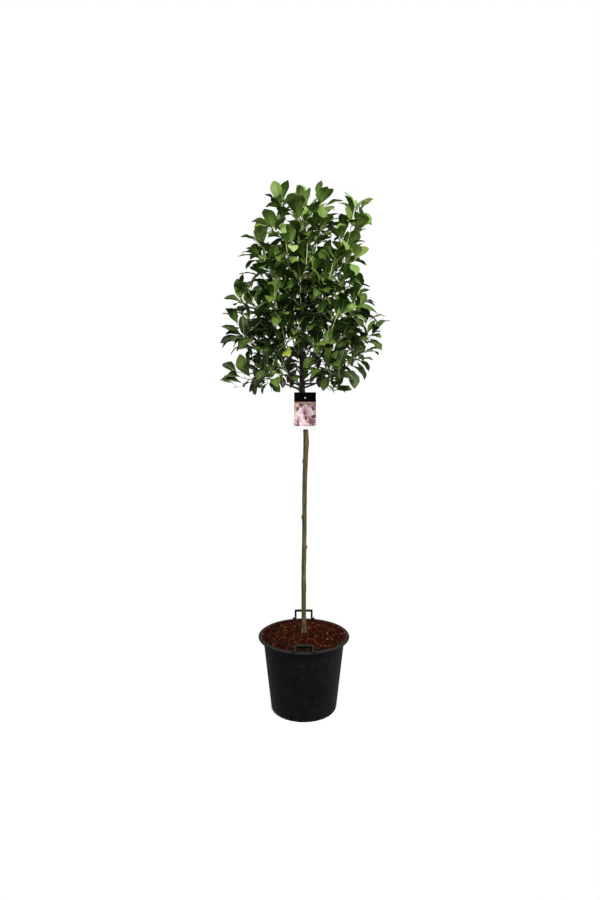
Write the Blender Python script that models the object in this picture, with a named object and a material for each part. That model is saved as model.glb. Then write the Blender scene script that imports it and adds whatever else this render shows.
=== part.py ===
"""A saucer magnolia grafted as a small standard tree, growing in a black nursery pot.

Metres, with +Z up. The origin is the centre of the pot's flat underside, and -Y is the plant's front.
Angles round the tree are in degrees, from 0 at +X (its right) through 90 at +Y (its back).
"""

import math
import random
from collections import namedtuple

import bmesh
import bpy
from mathutils import Matrix, Vector
from mathutils.bvhtree import BVHTree
from mathutils.geometry import interpolate_bezier

UP = Vector((0, 0, 1))
GAP = 0.0003  # between pieces that touch
GOLDEN_ANGLE = math.radians(137.5)

# The pot, a tapered nursery container with a flat lip
POT_HEIGHT = 0.330
BASE_RADIUS = 0.144
WALL_TOP_RADIUS = 0.1785
WALL = 0.003
LIP_RADIUS = 0.1995
LIP_THICKNESS = 0.005
POT_SEGMENTS = 48
DRAIN_HOLES = 8
DRAIN_HOLE_RADIUS = 0.006
DRAIN_HOLE_HEIGHT = 0.013

# The two swinging handles, the lugs that hold them and the stops that they lean on
HINGE_RADIUS = 0.187
HINGE_HEIGHT = POT_HEIGHT + 0.0035
BAR_WIDTH = 0.009
BAR_EDGE = 0.0022
HANDLE_HALF_WIDTH = 0.0375  # to the middle of each leg
HANDLE_RISE = 0.040  # from the hinge's axis to the middle of the crossbar
LEG_END_RADIUS = 0.003
LEG_FULL_RISE = 0.0085  # where a leg has its full thickness
PIN_RADIUS = 0.0022
HINGE_HOLE = PIN_RADIUS + GAP
SIDE_PLAY = 0.0008
LUG_THICKNESS = 0.008
LUG_DEPTH = 0.011
LUG_RISE = 0.0038  # above the hinge's axis
STOP_OFFSET = 0.0041  # from the hinge's axis to the face that the raised handle leans on
STOP_DEPTH = 0.0035
RAISED_LEAN = 6  # degrees inwards past upright, where the back handle leans on its stops
FOLDED_LEAN = 78  # where the front handle lies over the potting mix

# The potting mix, and its low mound round the trunk
SOIL_TOP = 0.338
SOIL_EDGE = 0.327

# The trunk: height, sideways and front-to-back place of its middle, and radius
TRUNK = (
    (0.3383, 0.000, 0.015, 0.0145),
    (0.355, 0.000, 0.015, 0.0115),
    (0.385, 0.000, 0.015, 0.0102),
    (0.550, -0.001, 0.014, 0.0100),
    (0.800, 0.002, 0.012, 0.0099),
    (1.000, 0.003, 0.010, 0.0101),
    (1.165, 0.008, 0.006, 0.0110),
    (1.250, 0.006, 0.003, 0.0112),
    (1.345, -0.005, 0.000, 0.0130),
    (1.385, -0.008, 0.000, 0.0140),
    (1.430, -0.009, 0.000, 0.0108),
    (1.550, -0.010, 0.002, 0.0088),
    (1.700, -0.009, 0.004, 0.0066),
    (1.850, -0.014, 0.006, 0.0045),
    (1.970, -0.022, 0.010, 0.0028),
)
TRUNK_SIDES = 10
TRUNK_RINGS = 32

# The hang tag and its strap
TAG_WIDTH = 0.0915
TAG_LOW, TAG_HIGH = 1.239, 1.395
TAG_MIDDLE = 0.00425
TAG_THICKNESS = 0.0008
TAG_CORNER = 0.003
PEG_HEIGHT = 1.372
PEG_RADIUS = 0.0022
PEG_HEAD_RADIUS = 0.004
PEG_HEAD_THICKNESS = 0.0012
STRAP_THICKNESS = 0.0012
STRAP_BREADTH = 0.012

# The boughs. Each leaves the trunk at the height start, climbing at slope degrees, and ends at
# (side, reach, tip), climbing at lean degrees. Its leafy shoot goes on to (shoot_side, shoot_reach, top).
Bough = namedtuple("Bough", "name side start slope reach tip lean shoot_side shoot_reach top")
BOUGHS = (
    Bough("lower_left", 194, 1.405, 15, 0.120, 1.445, 20, 196, 0.280, 1.465),
    Bough("low_front_right", 308, 1.412, 10, 0.100, 1.440, 20, 303, 0.250, 1.490),
    Bough("low_back_left", 138, 1.420, 12, 0.120, 1.470, 40, 138, 0.270, 1.620),
    Bough("low_front_left", 240, 1.424, 12, 0.100, 1.455, 20, 236, 0.255, 1.500),
    Bough("lower_right", 350, 1.430, 0, 0.155, 1.470, 45, 350, 0.262, 1.690),
    Bough("low_back_right", 48, 1.436, 12, 0.120, 1.480, 40, 46, 0.270, 1.620),
    Bough("front_right", 305, 1.446, 20, 0.095, 1.520, 50, 310, 0.205, 1.720),
    Bough("left", 182, 1.455, 20, 0.115, 1.510, 35, 187, 0.285, 1.690),
    Bough("low_back", 92, 1.462, 15, 0.120, 1.510, 40, 90, 0.265, 1.640),
    Bough("front_left", 234, 1.470, 25, 0.090, 1.540, 55, 230, 0.185, 1.780),
    Bough("right", 17, 1.480, 30, 0.115, 1.590, 55, 18, 0.255, 1.840),
    Bough("left_middle", 163, 1.490, 30, 0.115, 1.590, 50, 170, 0.235, 1.820),
    Bough("back", 94, 1.500, 35, 0.090, 1.630, 60, 92, 0.195, 1.870),
    Bough("upper_right", 354, 1.512, 35, 0.105, 1.730, 75, 354, 0.205, 2.135),
    Bough("back_right", 49, 1.524, 40, 0.090, 1.650, 65, 50, 0.190, 1.930),
    Bough("back_left", 133, 1.537, 40, 0.090, 1.660, 65, 135, 0.195, 1.930),
    Bough("front", 261, 1.550, 30, 0.060, 1.630, 70, 262, 0.115, 1.850),
    Bough("front_right_upper", 315, 1.600, 38, 0.070, 1.700, 65, 318, 0.150, 1.900),
    Bough("left_upper", 170, 1.620, 40, 0.075, 1.730, 65, 172, 0.175, 2.010),
    Bough("upper_left", 205, 1.670, 45, 0.048, 1.810, 80, 198, 0.100, 2.145),
    Bough("front_upper", 275, 1.700, 45, 0.038, 1.800, 80, 280, 0.070, 1.990),
    Bough("upper_middle", 29, 1.735, 55, 0.040, 1.880, 82, 29, 0.066, 2.185),
    Bough("upper_back", 95, 1.770, 50, 0.045, 1.890, 80, 90, 0.090, 2.100),
)
BOUGH_SIDES = 6
BOUGH_RINGS = 7
BOUGH_SHARE = 0.42  # a bough's radius at its start, as a share of the trunk's there
BOUGH_TIP_RADIUS = 0.0022
LEADER_SHOOT = (150, 0.018, 2.165)  # side, reach and top of the shoot that ends the trunk

# The growth rule of the leafy shoots
SEED = 61
STEM_END_RADIUS = 0.0013
STEM_SIDES = 5
STEM_RINGS = 6
TWIG_RINGS = 3
TWIG_SPACING = 0.048
TWIG_LENGTH = 0.095
TWIG_RADIUS = 0.0015
TWIG_END_RADIUS = 0.0010
STEM_LEAF_SPACING = 0.040
TWIG_LEAF_SPACING = 0.034
LEAF_LENGTH = (0.110, 0.138)
LEAF_SHAPE = (0.46, 0.54)  # width as a share of length
LEAF_THICKNESS = 0.018  # as a share of length
LEAF_TRIES = 8
CROWN_BOTTOM, CROWN_TOP = 1.380, 2.250
CROWN_OUTLINE = (  # height and greatest reach from the trunk
    (1.380, 0.260),
    (1.430, 0.350),
    (1.720, 0.352),
    (1.850, 0.310),
    (1.970, 0.275),
    (2.100, 0.315),
    (2.200, 0.270),
    (2.250, 0.100),
)


def material(name, colour, roughness):
    """A plain finish, from an sRGB hex colour."""
    made = bpy.data.materials.new(name)
    made.use_nodes = True
    channels = [int(colour[i : i + 2], 16) / 255 for i in (0, 2, 4)]
    linear = [c / 12.92 if c <= 0.04045 else ((c + 0.055) / 1.055) ** 2.4 for c in channels]
    shader = made.node_tree.nodes["Principled BSDF"]
    shader.inputs["Base Color"].default_value = (*linear, 1)
    shader.inputs["Roughness"].default_value = roughness
    made.diffuse_color = (*linear, 1)
    return made


def add_object(name, points, faces, look=None, smooth_angle=None):
    """A mesh object, shaded smooth where its faces meet at less than smooth_angle degrees."""
    mesh = bpy.data.meshes.new(name)
    mesh.from_pydata([tuple(p) for p in points], [], faces)
    if smooth_angle:
        mesh.shade_smooth()
        mesh.set_sharp_from_angle(angle=math.radians(smooth_angle))
    if look:
        mesh.materials.append(look)
    made = bpy.data.objects.new(name, mesh)
    bpy.context.scene.collection.objects.link(made)
    return made


def as_helper(made):
    """Marks an object that only shapes others."""
    made.hide_render = True
    made.display_type = "WIRE"
    return made


def combine(made, operation, helpers, solver="EXACT"):
    """A Boolean of one object with several helpers."""
    group = bpy.data.collections.new(f"{made.name}_{operation.lower()}")
    bpy.context.scene.collection.children.link(group)
    for helper in helpers:
        group.objects.link(as_helper(helper))
        bpy.context.scene.collection.objects.unlink(helper)
    cut = made.modifiers.new(operation.title(), "BOOLEAN")
    cut.operation = operation
    cut.operand_type = "COLLECTION"
    cut.collection = group
    cut.solver = solver
    return group


def box(name, low, high):
    low, high = Vector(low), Vector(high)
    place = Matrix.Translation((low + high) / 2) @ Matrix.Diagonal((*(high - low), 1))
    shape = bmesh.new()
    bmesh.ops.create_cube(shape, size=1, matrix=place)
    return from_bmesh(name, shape)


def rod(name, start, end, radius, sides):
    """A straight round bar from start to end."""
    start, end = Vector(start), Vector(end)
    turn = (end - start).to_track_quat("Z", "X").to_matrix().to_4x4()
    shape = bmesh.new()
    bmesh.ops.create_cone(
        shape,
        cap_ends=True,
        segments=sides,
        radius1=radius,
        radius2=radius,
        depth=(end - start).length,
        matrix=Matrix.Translation((start + end) / 2) @ turn,
    )
    return from_bmesh(name, shape)


def from_bmesh(name, shape):
    mesh = bpy.data.meshes.new(name)
    shape.to_mesh(mesh)
    shape.free()
    made = bpy.data.objects.new(name, mesh)
    bpy.context.scene.collection.objects.link(made)
    return made


def turned(name, profile, look):
    """A solid of revolution. Its profile runs from the axis, up the inside and down the outer side."""
    outline = bmesh.new()
    corners = [outline.verts.new((radius, 0, height)) for radius, height in profile]
    for before, after in zip(corners, corners[1:]):
        outline.edges.new((before, after))
    made = from_bmesh(name, outline)
    made.data.materials.append(look)
    screw = made.modifiers.new("Turn", "SCREW")
    screw.steps = screw.render_steps = POT_SEGMENTS
    screw.use_merge_vertices = True
    screw.merge_threshold = 0.00001
    screw.use_smooth_shade = True
    return made


def wall_radius(height):
    """The pot wall's outer radius at a height."""
    share = height / (POT_HEIGHT - LIP_THICKNESS)
    return BASE_RADIUS + (WALL_TOP_RADIUS - BASE_RADIUS) * share


def handle_mounts():
    """The lugs of both handles and the back one's stops, sunk into the lip, and the holes for the pins."""
    foot = POT_HEIGHT - LIP_THICKNESS / 2
    lug_top = HINGE_HEIGHT + LUG_RISE
    stop_top = lug_top - 0.001
    near = HANDLE_HALF_WIDTH + BAR_WIDTH / 2 + SIDE_PLAY
    far = near + LUG_THICKNESS
    blocks, holes = [], []
    for front in (-1, 1):
        middle = front * HINGE_RADIUS
        stop_y = (middle - STOP_OFFSET - STOP_DEPTH, middle - STOP_OFFSET)
        lug_y = (middle - LUG_DEPTH / 2, middle + LUG_DEPTH / 2)
        for side in (-1, 1):
            lug_x = sorted((side * near, side * far))
            stop_x = sorted((side * (HANDLE_HALF_WIDTH - 0.003), side * (near + far) / 2))
            mounts = [(lug_x, lug_y, lug_top)]
            if front > 0:
                mounts.append((stop_x, stop_y, stop_top))
            for (x0, x1), (y0, y1), top in mounts:
                blocks.append(box(f"handle_mount_{len(blocks)}", (x0, y0, foot), (x1, y1, top)))
        start, end = (Vector((x, middle, HINGE_HEIGHT)) for x in (-far - 0.01, far + 0.01))
        holes.append(rod(f"hinge_hole_{front}", start, end, HINGE_HOLE, 16))
    return blocks, holes


def build_pot(look):
    lip_under = POT_HEIGHT - LIP_THICKNESS
    base_round = 0.009
    inner_floor = wall_radius(WALL) - WALL
    profile = [
        (0, WALL),
        (inner_floor - 0.004, WALL),
        (inner_floor + 0.001, WALL + 0.006),
        (WALL_TOP_RADIUS - WALL, lip_under),
        (WALL_TOP_RADIUS - WALL + 0.001, POT_HEIGHT - 0.001),
        (WALL_TOP_RADIUS - WALL + 0.003, POT_HEIGHT),
        (LIP_RADIUS - 0.003, POT_HEIGHT),
        (LIP_RADIUS - 0.0006, POT_HEIGHT - 0.0012),
        (LIP_RADIUS, POT_HEIGHT - 0.003),
        (LIP_RADIUS - 0.0015, lip_under),
        (WALL_TOP_RADIUS + 0.001, lip_under),
        (wall_radius(lip_under - 0.003), lip_under - 0.003),
        (wall_radius(base_round), base_round),
        (BASE_RADIUS - 0.002, base_round * 0.3),
        (BASE_RADIUS - base_round, 0),
        (0, 0),
    ]
    pot = turned("pot", profile, look)
    blocks, holes = handle_mounts()
    for i in range(DRAIN_HOLES):
        turn = math.radians((i + 0.5) * 360 / DRAIN_HOLES)
        way = Vector((math.cos(turn), math.sin(turn), 0))
        inner, outer = (way * (BASE_RADIUS + shift) + UP * DRAIN_HOLE_HEIGHT for shift in (-0.012, 0.012))
        holes.append(rod(f"drain_hole_{i}", inner, outer, DRAIN_HOLE_RADIUS, 8))
    combine(pot, "UNION", blocks)
    combine(pot, "DIFFERENCE", holes)
    return pot


def build_soil(look):
    """The potting mix fills the pot to just over its wall's top, where it mounds up to the trunk."""
    foot = WALL + GAP
    inner_floor = wall_radius(WALL) - WALL
    clear = GAP * 1.5
    mound = ((0.050, SOIL_TOP), (0.105, SOIL_TOP - 0.002), (0.150, SOIL_TOP - 0.006))
    profile = [
        (0, SOIL_TOP),
        *mound,
        (wall_radius(SOIL_EDGE) - WALL - clear, SOIL_EDGE),
        (inner_floor + 0.001 - clear, foot + 0.006),
        (inner_floor - 0.004 - clear, foot),
        (0, foot),
    ]
    return turned("soil", profile, look)


def rounded(corners, radius, steps=3):
    """A path through corners, each but the ends replaced by an arc."""
    corners = [Vector(c) for c in corners]
    path = [corners[0]]
    for before, corner, after in zip(corners, corners[1:], corners[2:]):
        start = corner + (before - corner).normalized() * radius
        end = corner + (after - corner).normalized() * radius
        path += interpolate_bezier(start, start.lerp(corner, 0.55), end.lerp(corner, 0.55), end, steps + 1)
    return [*path, corners[-1]]


def plate(name, outline, way, depth):
    """A flat outline drawn out by depth, half each way."""
    shape = bmesh.new()
    face = shape.faces.new([shape.verts.new(Vector(corner) - way * depth / 2) for corner in outline])
    grown = bmesh.ops.extrude_face_region(shape, geom=[face])
    moved = [v for v in grown["geom"] if isinstance(v, bmesh.types.BMVert)]
    bmesh.ops.translate(shape, verts=moved, vec=way * depth)
    bmesh.ops.recalc_face_normals(shape, faces=shape.faces)
    return from_bmesh(name, shape)


def build_handle(name, front, lean, look):
    """A thick squared bail, thinned round its hinge, whose pins sit in two lugs. It leans inwards."""
    arm = BAR_WIDTH / 2
    wide, slim = HANDLE_HALF_WIDTH + arm, HANDLE_HALF_WIDTH - arm
    foot = -LEG_END_RADIUS - 0.0005
    high, low = HANDLE_RISE + arm, HANDLE_RISE - arm
    outer = rounded([(wide, 0, foot), (wide, 0, high), (-wide, 0, high), (-wide, 0, foot)], 0.0045)
    inner = rounded([(-slim, 0, foot), (-slim, 0, low), (slim, 0, low), (slim, 0, foot)], 0.002, 2)
    handle = plate(name, [*outer, *inner], Vector((0, 1, 0)), BAR_WIDTH)
    handle.data.materials.append(look)
    handle.data.shade_smooth()
    handle.data.set_sharp_from_angle(angle=math.radians(40))
    edge = handle.modifiers.new("Round the edges", "BEVEL")
    edge.width = BAR_EDGE
    edge.segments = 2
    edge.angle_limit = math.radians(60)
    turns = [math.pi * i / 6 for i in range(7)]
    side_view = [(0, -math.cos(turn) * LEG_END_RADIUS, -math.sin(turn) * LEG_END_RADIUS) for turn in turns]
    side_view += [(0, arm + 0.0001, LEG_FULL_RISE), (0, arm + 0.0001, 0.060)]
    side_view += [(0, -arm - 0.0001, 0.060), (0, -arm - 0.0001, LEG_FULL_RISE)]
    sides = plate(f"{name}_sides", side_view, Vector((1, 0, 0)), 0.100)
    pin_end = wide + SIDE_PLAY + LUG_THICKNESS - 0.001
    pins = [
        rod(f"{name}_pin_{side}", (side * HANDLE_HALF_WIDTH, 0, 0), (side * pin_end, 0, 0), PIN_RADIUS, 12)
        for side in (-1, 1)
    ]
    combine(handle, "INTERSECT", [sides])
    combine(handle, "UNION", pins)
    for piece in (handle, sides, *pins):
        piece.location = (0, front * HINGE_RADIUS, HINGE_HEIGHT)
        piece.rotation_euler.x = front * math.radians(lean)
    return handle


def catmull_rom(rows, height):
    """Each column of rows at a height, on a smooth curve through them. The first column is the height."""
    last = len(rows) - 2
    at = next((i for i in range(last) if height < rows[i + 1][0]), last)
    before, start, end, after = rows[max(at - 1, 0)], rows[at], rows[at + 1], rows[min(at + 2, last + 1)]
    span = end[0] - start[0]
    t = min(max((height - start[0]) / span, 0), 1)
    values = []
    for column in range(1, len(start)):
        slope_in = (end[column] - before[column]) / (end[0] - before[0]) * span
        slope_out = (after[column] - start[column]) / (after[0] - start[0]) * span
        values.append(
            (2 * t**3 - 3 * t**2 + 1) * start[column]
            + (t**3 - 2 * t**2 + t) * slope_in
            + (3 * t**2 - 2 * t**3) * end[column]
            + (t**3 - t**2) * slope_out
        )
    return values


def trunk_at(height):
    """The trunk's middle and radius at a height."""
    x, y, radius = catmull_rom(TRUNK, height)
    return Vector((x, y, height)), radius


def tube(path, radii, sides, first_way=None, last_way=None):
    """The points and faces of a round limb along a path, whose flat caps can face first_way and last_way."""
    points, faces = [], []
    ways = [after - before for before, after in zip([path[0], *path], [*path[1:], path[-1]])]
    ways[0], ways[-1] = first_way or ways[0], last_way or ways[-1]
    side = ways[0].orthogonal().normalized()
    for place, radius, way in zip(path, radii, ways):
        ahead = way.normalized()
        side = (side - ahead * side.dot(ahead)).normalized()
        other = ahead.cross(side)
        for k in range(sides):
            turn = 2 * math.pi * k / sides
            points.append(place + (side * math.cos(turn) + other * math.sin(turn)) * radius)
    for ring in range(0, (len(path) - 1) * sides, sides):
        for k in range(sides):
            a, b = ring + k, ring + (k + 1) % sides
            faces.append((a, b, b + sides, a + sides))
    faces.append(tuple(reversed(range(sides))))
    faces.append(tuple(range(len(points) - sides, len(points))))
    return points, faces


def taper(start, end, count):
    return [start + (end - start) * i / (count - 1) for i in range(count)]


def trunk_way():
    """The way the trunk points at its tip."""
    top = TRUNK[-1][0]
    return (trunk_at(top)[0] - trunk_at(top - 0.01)[0]).normalized()


def trunk_shape(grow=0.0):
    """The trunk, flat at its foot, with grow added to its radius."""
    low, high = TRUNK[0][0], TRUNK[-1][0]
    # Rings lie closer together in the flare at the foot.
    flare = [low, low + 0.006, low + 0.014, low + 0.026]
    heights = flare + [low + 0.045 + (high - low - 0.045) * i / (TRUNK_RINGS - 1) for i in range(TRUNK_RINGS)]
    places, radii = zip(*(trunk_at(height) for height in heights))
    points, faces = tube(list(places), [r + grow for r in radii], TRUNK_SIDES, last_way=trunk_way())
    for point in points[:TRUNK_SIDES]:
        point.z = low
    return points, faces


def outward(side, slope=0.0):
    """The way that points to a side, climbing at slope degrees."""
    turn, climb = math.radians(side), math.radians(slope)
    return Vector((math.cos(turn) * math.cos(climb), math.sin(turn) * math.cos(climb), math.sin(climb)))


def bend(start, start_way, end, end_way, steps):
    """A smooth path from start to end."""
    third = (end - start).length / 3
    return interpolate_bezier(start, start + start_way * third, end - end_way * third, end, steps)


def bough_path(bough):
    start, _ = trunk_at(bough.start)
    tip = outward(bough.side) * bough.reach + UP * bough.tip
    return bend(start, outward(bough.side, bough.slope), tip, outward(bough.side, bough.lean), BOUGH_RINGS)


def bough_shape(bough, grow=0.0):
    radii = taper(trunk_at(bough.start)[1] * BOUGH_SHARE, BOUGH_TIP_RADIUS, BOUGH_RINGS)
    last_way = outward(bough.side, bough.lean)
    return tube(bough_path(bough), [r + grow for r in radii], BOUGH_SIDES, last_way=last_way)


def build_tag(look):
    """A printed plastic card with a hole for the peg."""
    shape = bmesh.new()
    corners = []
    for along, up in ((1, 1), (-1, 1), (-1, -1), (1, -1)):
        start = math.atan2(up, along) - math.pi / 4
        middle = (
            TAG_MIDDLE + along * (TAG_WIDTH / 2 - TAG_CORNER),
            (TAG_LOW + TAG_HIGH) / 2 + up * ((TAG_HIGH - TAG_LOW) / 2 - TAG_CORNER),
        )
        for i in range(4):
            turn = start + math.pi / 2 * i / 3
            x, z = middle[0] + math.cos(turn) * TAG_CORNER, middle[1] + math.sin(turn) * TAG_CORNER
            corners.append(shape.verts.new((x, TAG_BACK, z)))
    card = shape.faces.new(corners)
    grown = bmesh.ops.extrude_face_region(shape, geom=[card])
    moved = [v for v in grown["geom"] if isinstance(v, bmesh.types.BMVert)]
    bmesh.ops.translate(shape, verts=moved, vec=(0, -TAG_THICKNESS, 0))
    bmesh.ops.recalc_face_normals(shape, faces=shape.faces)
    tag = from_bmesh("tag", shape)
    tag.data.materials.append(look)
    behind, before = (Vector((TAG_MIDDLE, TAG_BACK + shift, PEG_HEIGHT)) for shift in (0.002, -0.003))
    combine(tag, "DIFFERENCE", [rod("tag_hole", behind, before, PEG_RADIUS + GAP, 16)])
    return tag


def strap_loop(inset):
    """The strap's outline from above: round behind the trunk and straight in front of it."""
    middle, radius = trunk_at(PEG_HEIGHT)
    inner = radius + 0.001 + inset
    front = STRAP_FRONT + STRAP_THICKNESS - inset
    outline = [
        middle + Vector((math.cos(turn) * inner, math.sin(turn) * inner, 0))
        for turn in (math.pi * i / 12 for i in range(13))
    ]
    return [*outline, *(Vector((middle.x + x, front, middle.z)) for x in (-inner, inner))]


def build_strap(look):
    """A flat band round the trunk, with the peg that holds the tag."""
    loops = []
    for inset in (0, STRAP_THICKNESS):
        for side in (-1, 1):
            loops.append([p + UP * side * STRAP_BREADTH / 2 for p in strap_loop(inset)])
    count = len(loops[0])
    points = [p for loop in loops for p in loop]
    faces = []
    for k in range(count):
        n = (k + 1) % count
        inner_low, inner_high, outer_low, outer_high = (i * count for i in range(4))
        faces.append((inner_low + n, inner_low + k, inner_high + k, inner_high + n))
        faces.append((outer_low + k, outer_low + n, outer_high + n, outer_high + k))
        faces.append((inner_high + n, inner_high + k, outer_high + k, outer_high + n))
        faces.append((inner_low + k, inner_low + n, outer_low + n, outer_low + k))
    strap = add_object("tag_strap", points, faces, look)
    head_back = TAG_BACK - TAG_THICKNESS - GAP
    root, neck, face = (
        Vector((TAG_MIDDLE, y, PEG_HEIGHT))
        for y in (STRAP_FRONT + STRAP_THICKNESS / 2, head_back, head_back - PEG_HEAD_THICKNESS)
    )
    peg = rod("peg", root, neck.lerp(face, 0.5), PEG_RADIUS, 16)
    combine(strap, "UNION", [peg, rod("peg_head", neck, face, PEG_HEAD_RADIUS, 16)])
    return strap


STRAP_FRONT = trunk_at(PEG_HEIGHT)[0].y - trunk_at(PEG_HEIGHT)[1] - 0.001 - STRAP_THICKNESS
TAG_BACK = STRAP_FRONT - GAP


# A leaf's root, the way it points, the way its upper face looks, and its size
Leaf = namedtuple("Leaf", "root way face length width")


def leaf_shape(leaf, thickness, start=0.0):
    """The eight faces of a blade, folded along its midrib and arched from its root to its tip.

    start leaves out that share of its length, next to the twig.
    """
    across = leaf.way.cross(leaf.face)
    arch = leaf.face * leaf.length * 0.08
    lift = leaf.face * leaf.width * 0.10
    widest = leaf.root + leaf.way * leaf.length * 0.58 + arch
    middle = leaf.root + leaf.way * leaf.length * 0.52 + arch
    half = across * leaf.width / 2
    points = [
        leaf.root + leaf.way * leaf.length * start + arch * start,
        widest + half + lift,
        leaf.root + leaf.way * leaf.length,
        widest - half + lift,
        middle + leaf.face * thickness / 2,
        middle - leaf.face * thickness / 2,
    ]
    root, right, tip, left, upper, under = range(6)
    ring = ((root, right), (right, tip), (tip, left), (left, root))
    return points, [(a, b, upper) for a, b in ring] + [(b, a, under) for a, b in ring]


class Space:
    """The room that limbs, twigs and leaves have taken, so that none grows through another."""

    def __init__(self):
        self.taken = []

    @staticmethod
    def ball(points):
        middle = sum(points, Vector()) / len(points)
        return middle, max((p - middle).length for p in points)

    def take(self, shape, owner, limb=None):
        self.taken.append((*self.ball(shape[0]), BVHTree.FromPolygons(*shape), owner, limb))

    def is_free(self, shape, own_shape, owner, limb=None):
        """True if shape clears every other mass, and own_shape its own mass but for the limb it is on."""
        middle, radius = self.ball(shape[0])
        whole, outer = BVHTree.FromPolygons(*shape), BVHTree.FromPolygons(*own_shape)
        for other_middle, other_radius, tree, other_owner, other_limb in self.taken:
            if (other_middle - middle).length > other_radius + radius:
                continue
            if other_owner != owner:
                if tree.overlap(whole):
                    return False
            elif other_limb is None or other_limb != limb:
                if tree.overlap(outer):
                    return False
        return True


def within_crown(point):
    if not CROWN_BOTTOM <= point.z <= CROWN_TOP:
        return False
    return math.hypot(point.x, point.y) <= catmull_rom(CROWN_OUTLINE, point.z)[0]


def along(path, share):
    """The place and the way at a share of a path's length, taking its points as evenly spaced."""
    at = min(share, 0.9999) * (len(path) - 1)
    i = int(at)
    return path[i].lerp(path[i + 1], at - i), (path[i + 1] - path[i]).normalized()


def path_length(path):
    return sum((b - a).length for a, b in zip(path, path[1:]))


def sideways(way, turn):
    """A unit vector square to way, turned round it."""
    first = way.cross(UP if abs(way.z) < 0.95 else Vector((1, 0, 0))).normalized()
    return first * math.cos(turn) + way.cross(first) * math.sin(turn)


class Shoot:
    """One mass of foliage: a stem, its side twigs and their leaves, all from one seeded rule."""

    def __init__(self, name, path, first_way, start_radius, number):
        self.name = name
        self.path = path
        self.first_way = first_way
        self.radii = taper(start_radius, STEM_END_RADIUS, len(path))
        self.rng = random.Random(SEED * 1000 + number)
        self.twigs = []
        self.leaves = []

    def stem_shape(self, grow=0.0):
        return tube(self.path, [r + grow for r in self.radii], STEM_SIDES, first_way=self.first_way)

    def grow_twigs(self, space):
        length = path_length(self.path)
        turn = self.rng.uniform(0, 2 * math.pi)
        place = 0.02
        while place < length * 0.72:
            root, way = along(self.path, place / length)
            for _ in range(4):
                side = sideways(way, turn)
                size = TWIG_LENGTH * (1 - 0.55 * place / length) * self.rng.uniform(0.7, 1.2)
                start_way = (way * 0.45 + side).normalized()
                end_way = (way * 0.6 + side * 0.6 + UP * 0.5).normalized()
                end = root + (start_way + end_way).normalized() * size
                path = bend(root, start_way, end, end_way, TWIG_RINGS)
                radii = taper(TWIG_RADIUS, TWIG_END_RADIUS, TWIG_RINGS)
                wide = [r + 0.001 for r in radii]
                shape = tube(path, wide, 3)
                outer = tube([path[0].lerp(path[1], 0.3), *path[1:]], wide, 3)
                if within_crown(end) and space.is_free(shape, outer, self.name):
                    self.twigs.append((path, radii))
                    space.take(shape, self.name, len(self.twigs))
                    break
                turn += math.radians(50)
            turn += GOLDEN_ANGLE
            place += TWIG_SPACING * self.rng.uniform(0.8, 1.2)

    def grow_leaves(self, space):
        self.leaves_along(space, self.path, 0, 0.42, STEM_LEAF_SPACING)
        for number, (path, _) in enumerate(self.twigs, 1):
            self.leaves_along(space, path, number, 0.42, TWIG_LEAF_SPACING)

    def leaves_along(self, space, path, limb, first, spacing):
        """Leaves in a spiral, the last three of them close together round the limb's end bud."""
        length = path_length(path)
        places = []
        place = length * first
        while place < length - spacing * 0.8:
            places.append(place / length)
            place += spacing * self.rng.uniform(0.85, 1.15)
        places += [0.90, 0.95, 0.985]
        turn = self.rng.uniform(0, 2 * math.pi)
        for number, share in enumerate(places):
            root, way = along(path, share)
            last = number >= len(places) - 3
            turn += GOLDEN_ANGLE
            self.grow_leaf(space, root, way, turn, limb, last)

    def grow_leaf(self, space, root, way, turn, limb, last):
        height = (root.z - CROWN_BOTTOM) / (CROWN_TOP - CROWN_BOTTOM)
        for attempt in range(LEAF_TRIES):
            side = sideways(way, turn + self.rng.uniform(-0.35, 0.35) * (1 + attempt))
            forward = self.rng.uniform(0.7, 1.1) if last else self.rng.uniform(0.15, 0.55)
            lift = -0.35 + 0.85 * height + self.rng.uniform(-0.2, 0.2)
            pointing = (way * forward + side + UP * lift).normalized()
            face = UP + way * 0.4 - side * 0.3 + Vector([self.rng.uniform(-0.35, 0.35) for _ in range(3)])
            face = (face - pointing * face.dot(pointing)).normalized()
            length = self.rng.uniform(*LEAF_LENGTH) * (0.86 if last else 1) * 0.95**attempt
            leaf = Leaf(root, pointing, face, length, length * self.rng.uniform(*LEAF_SHAPE))
            if not within_crown(root + pointing * length):
                continue
            shape = leaf_shape(leaf, 0.004)
            if space.is_free(shape, leaf_shape(leaf, 0.003, 0.16), self.name, limb):
                self.leaves.append(leaf)
                space.take(shape, self.name, f"leaf {len(self.leaves)}")
                return


def plan_shoots():
    """The stems of all masses, each starting just clear of its bough's tip or of the trunk's."""
    shoots = []
    for number, bough in enumerate(BOUGHS):
        path = bough_path(bough)
        way = outward(bough.side, bough.lean)
        start = path[-1] + way * GAP
        end = outward(bough.shoot_side) * bough.shoot_reach + UP * bough.top
        end_way = (way * 0.3 + (end - start).normalized() * 0.5 + UP * 0.4).normalized()
        stem = bend(start, way, end, end_way, STEM_RINGS)
        shoots.append(Shoot(f"foliage_{bough.name}", stem, way, BOUGH_TIP_RADIUS, number))
    side, reach, top = LEADER_SHOOT
    trunk_tip, radius = trunk_at(TRUNK[-1][0])
    way = trunk_way()
    start, end = trunk_tip + way * GAP, outward(side) * reach + UP * top
    stem = bend(start, way, end, UP, STEM_RINGS)
    shoots.append(Shoot("foliage_leader", stem, way, radius * 0.8, len(BOUGHS)))
    return shoots


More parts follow.
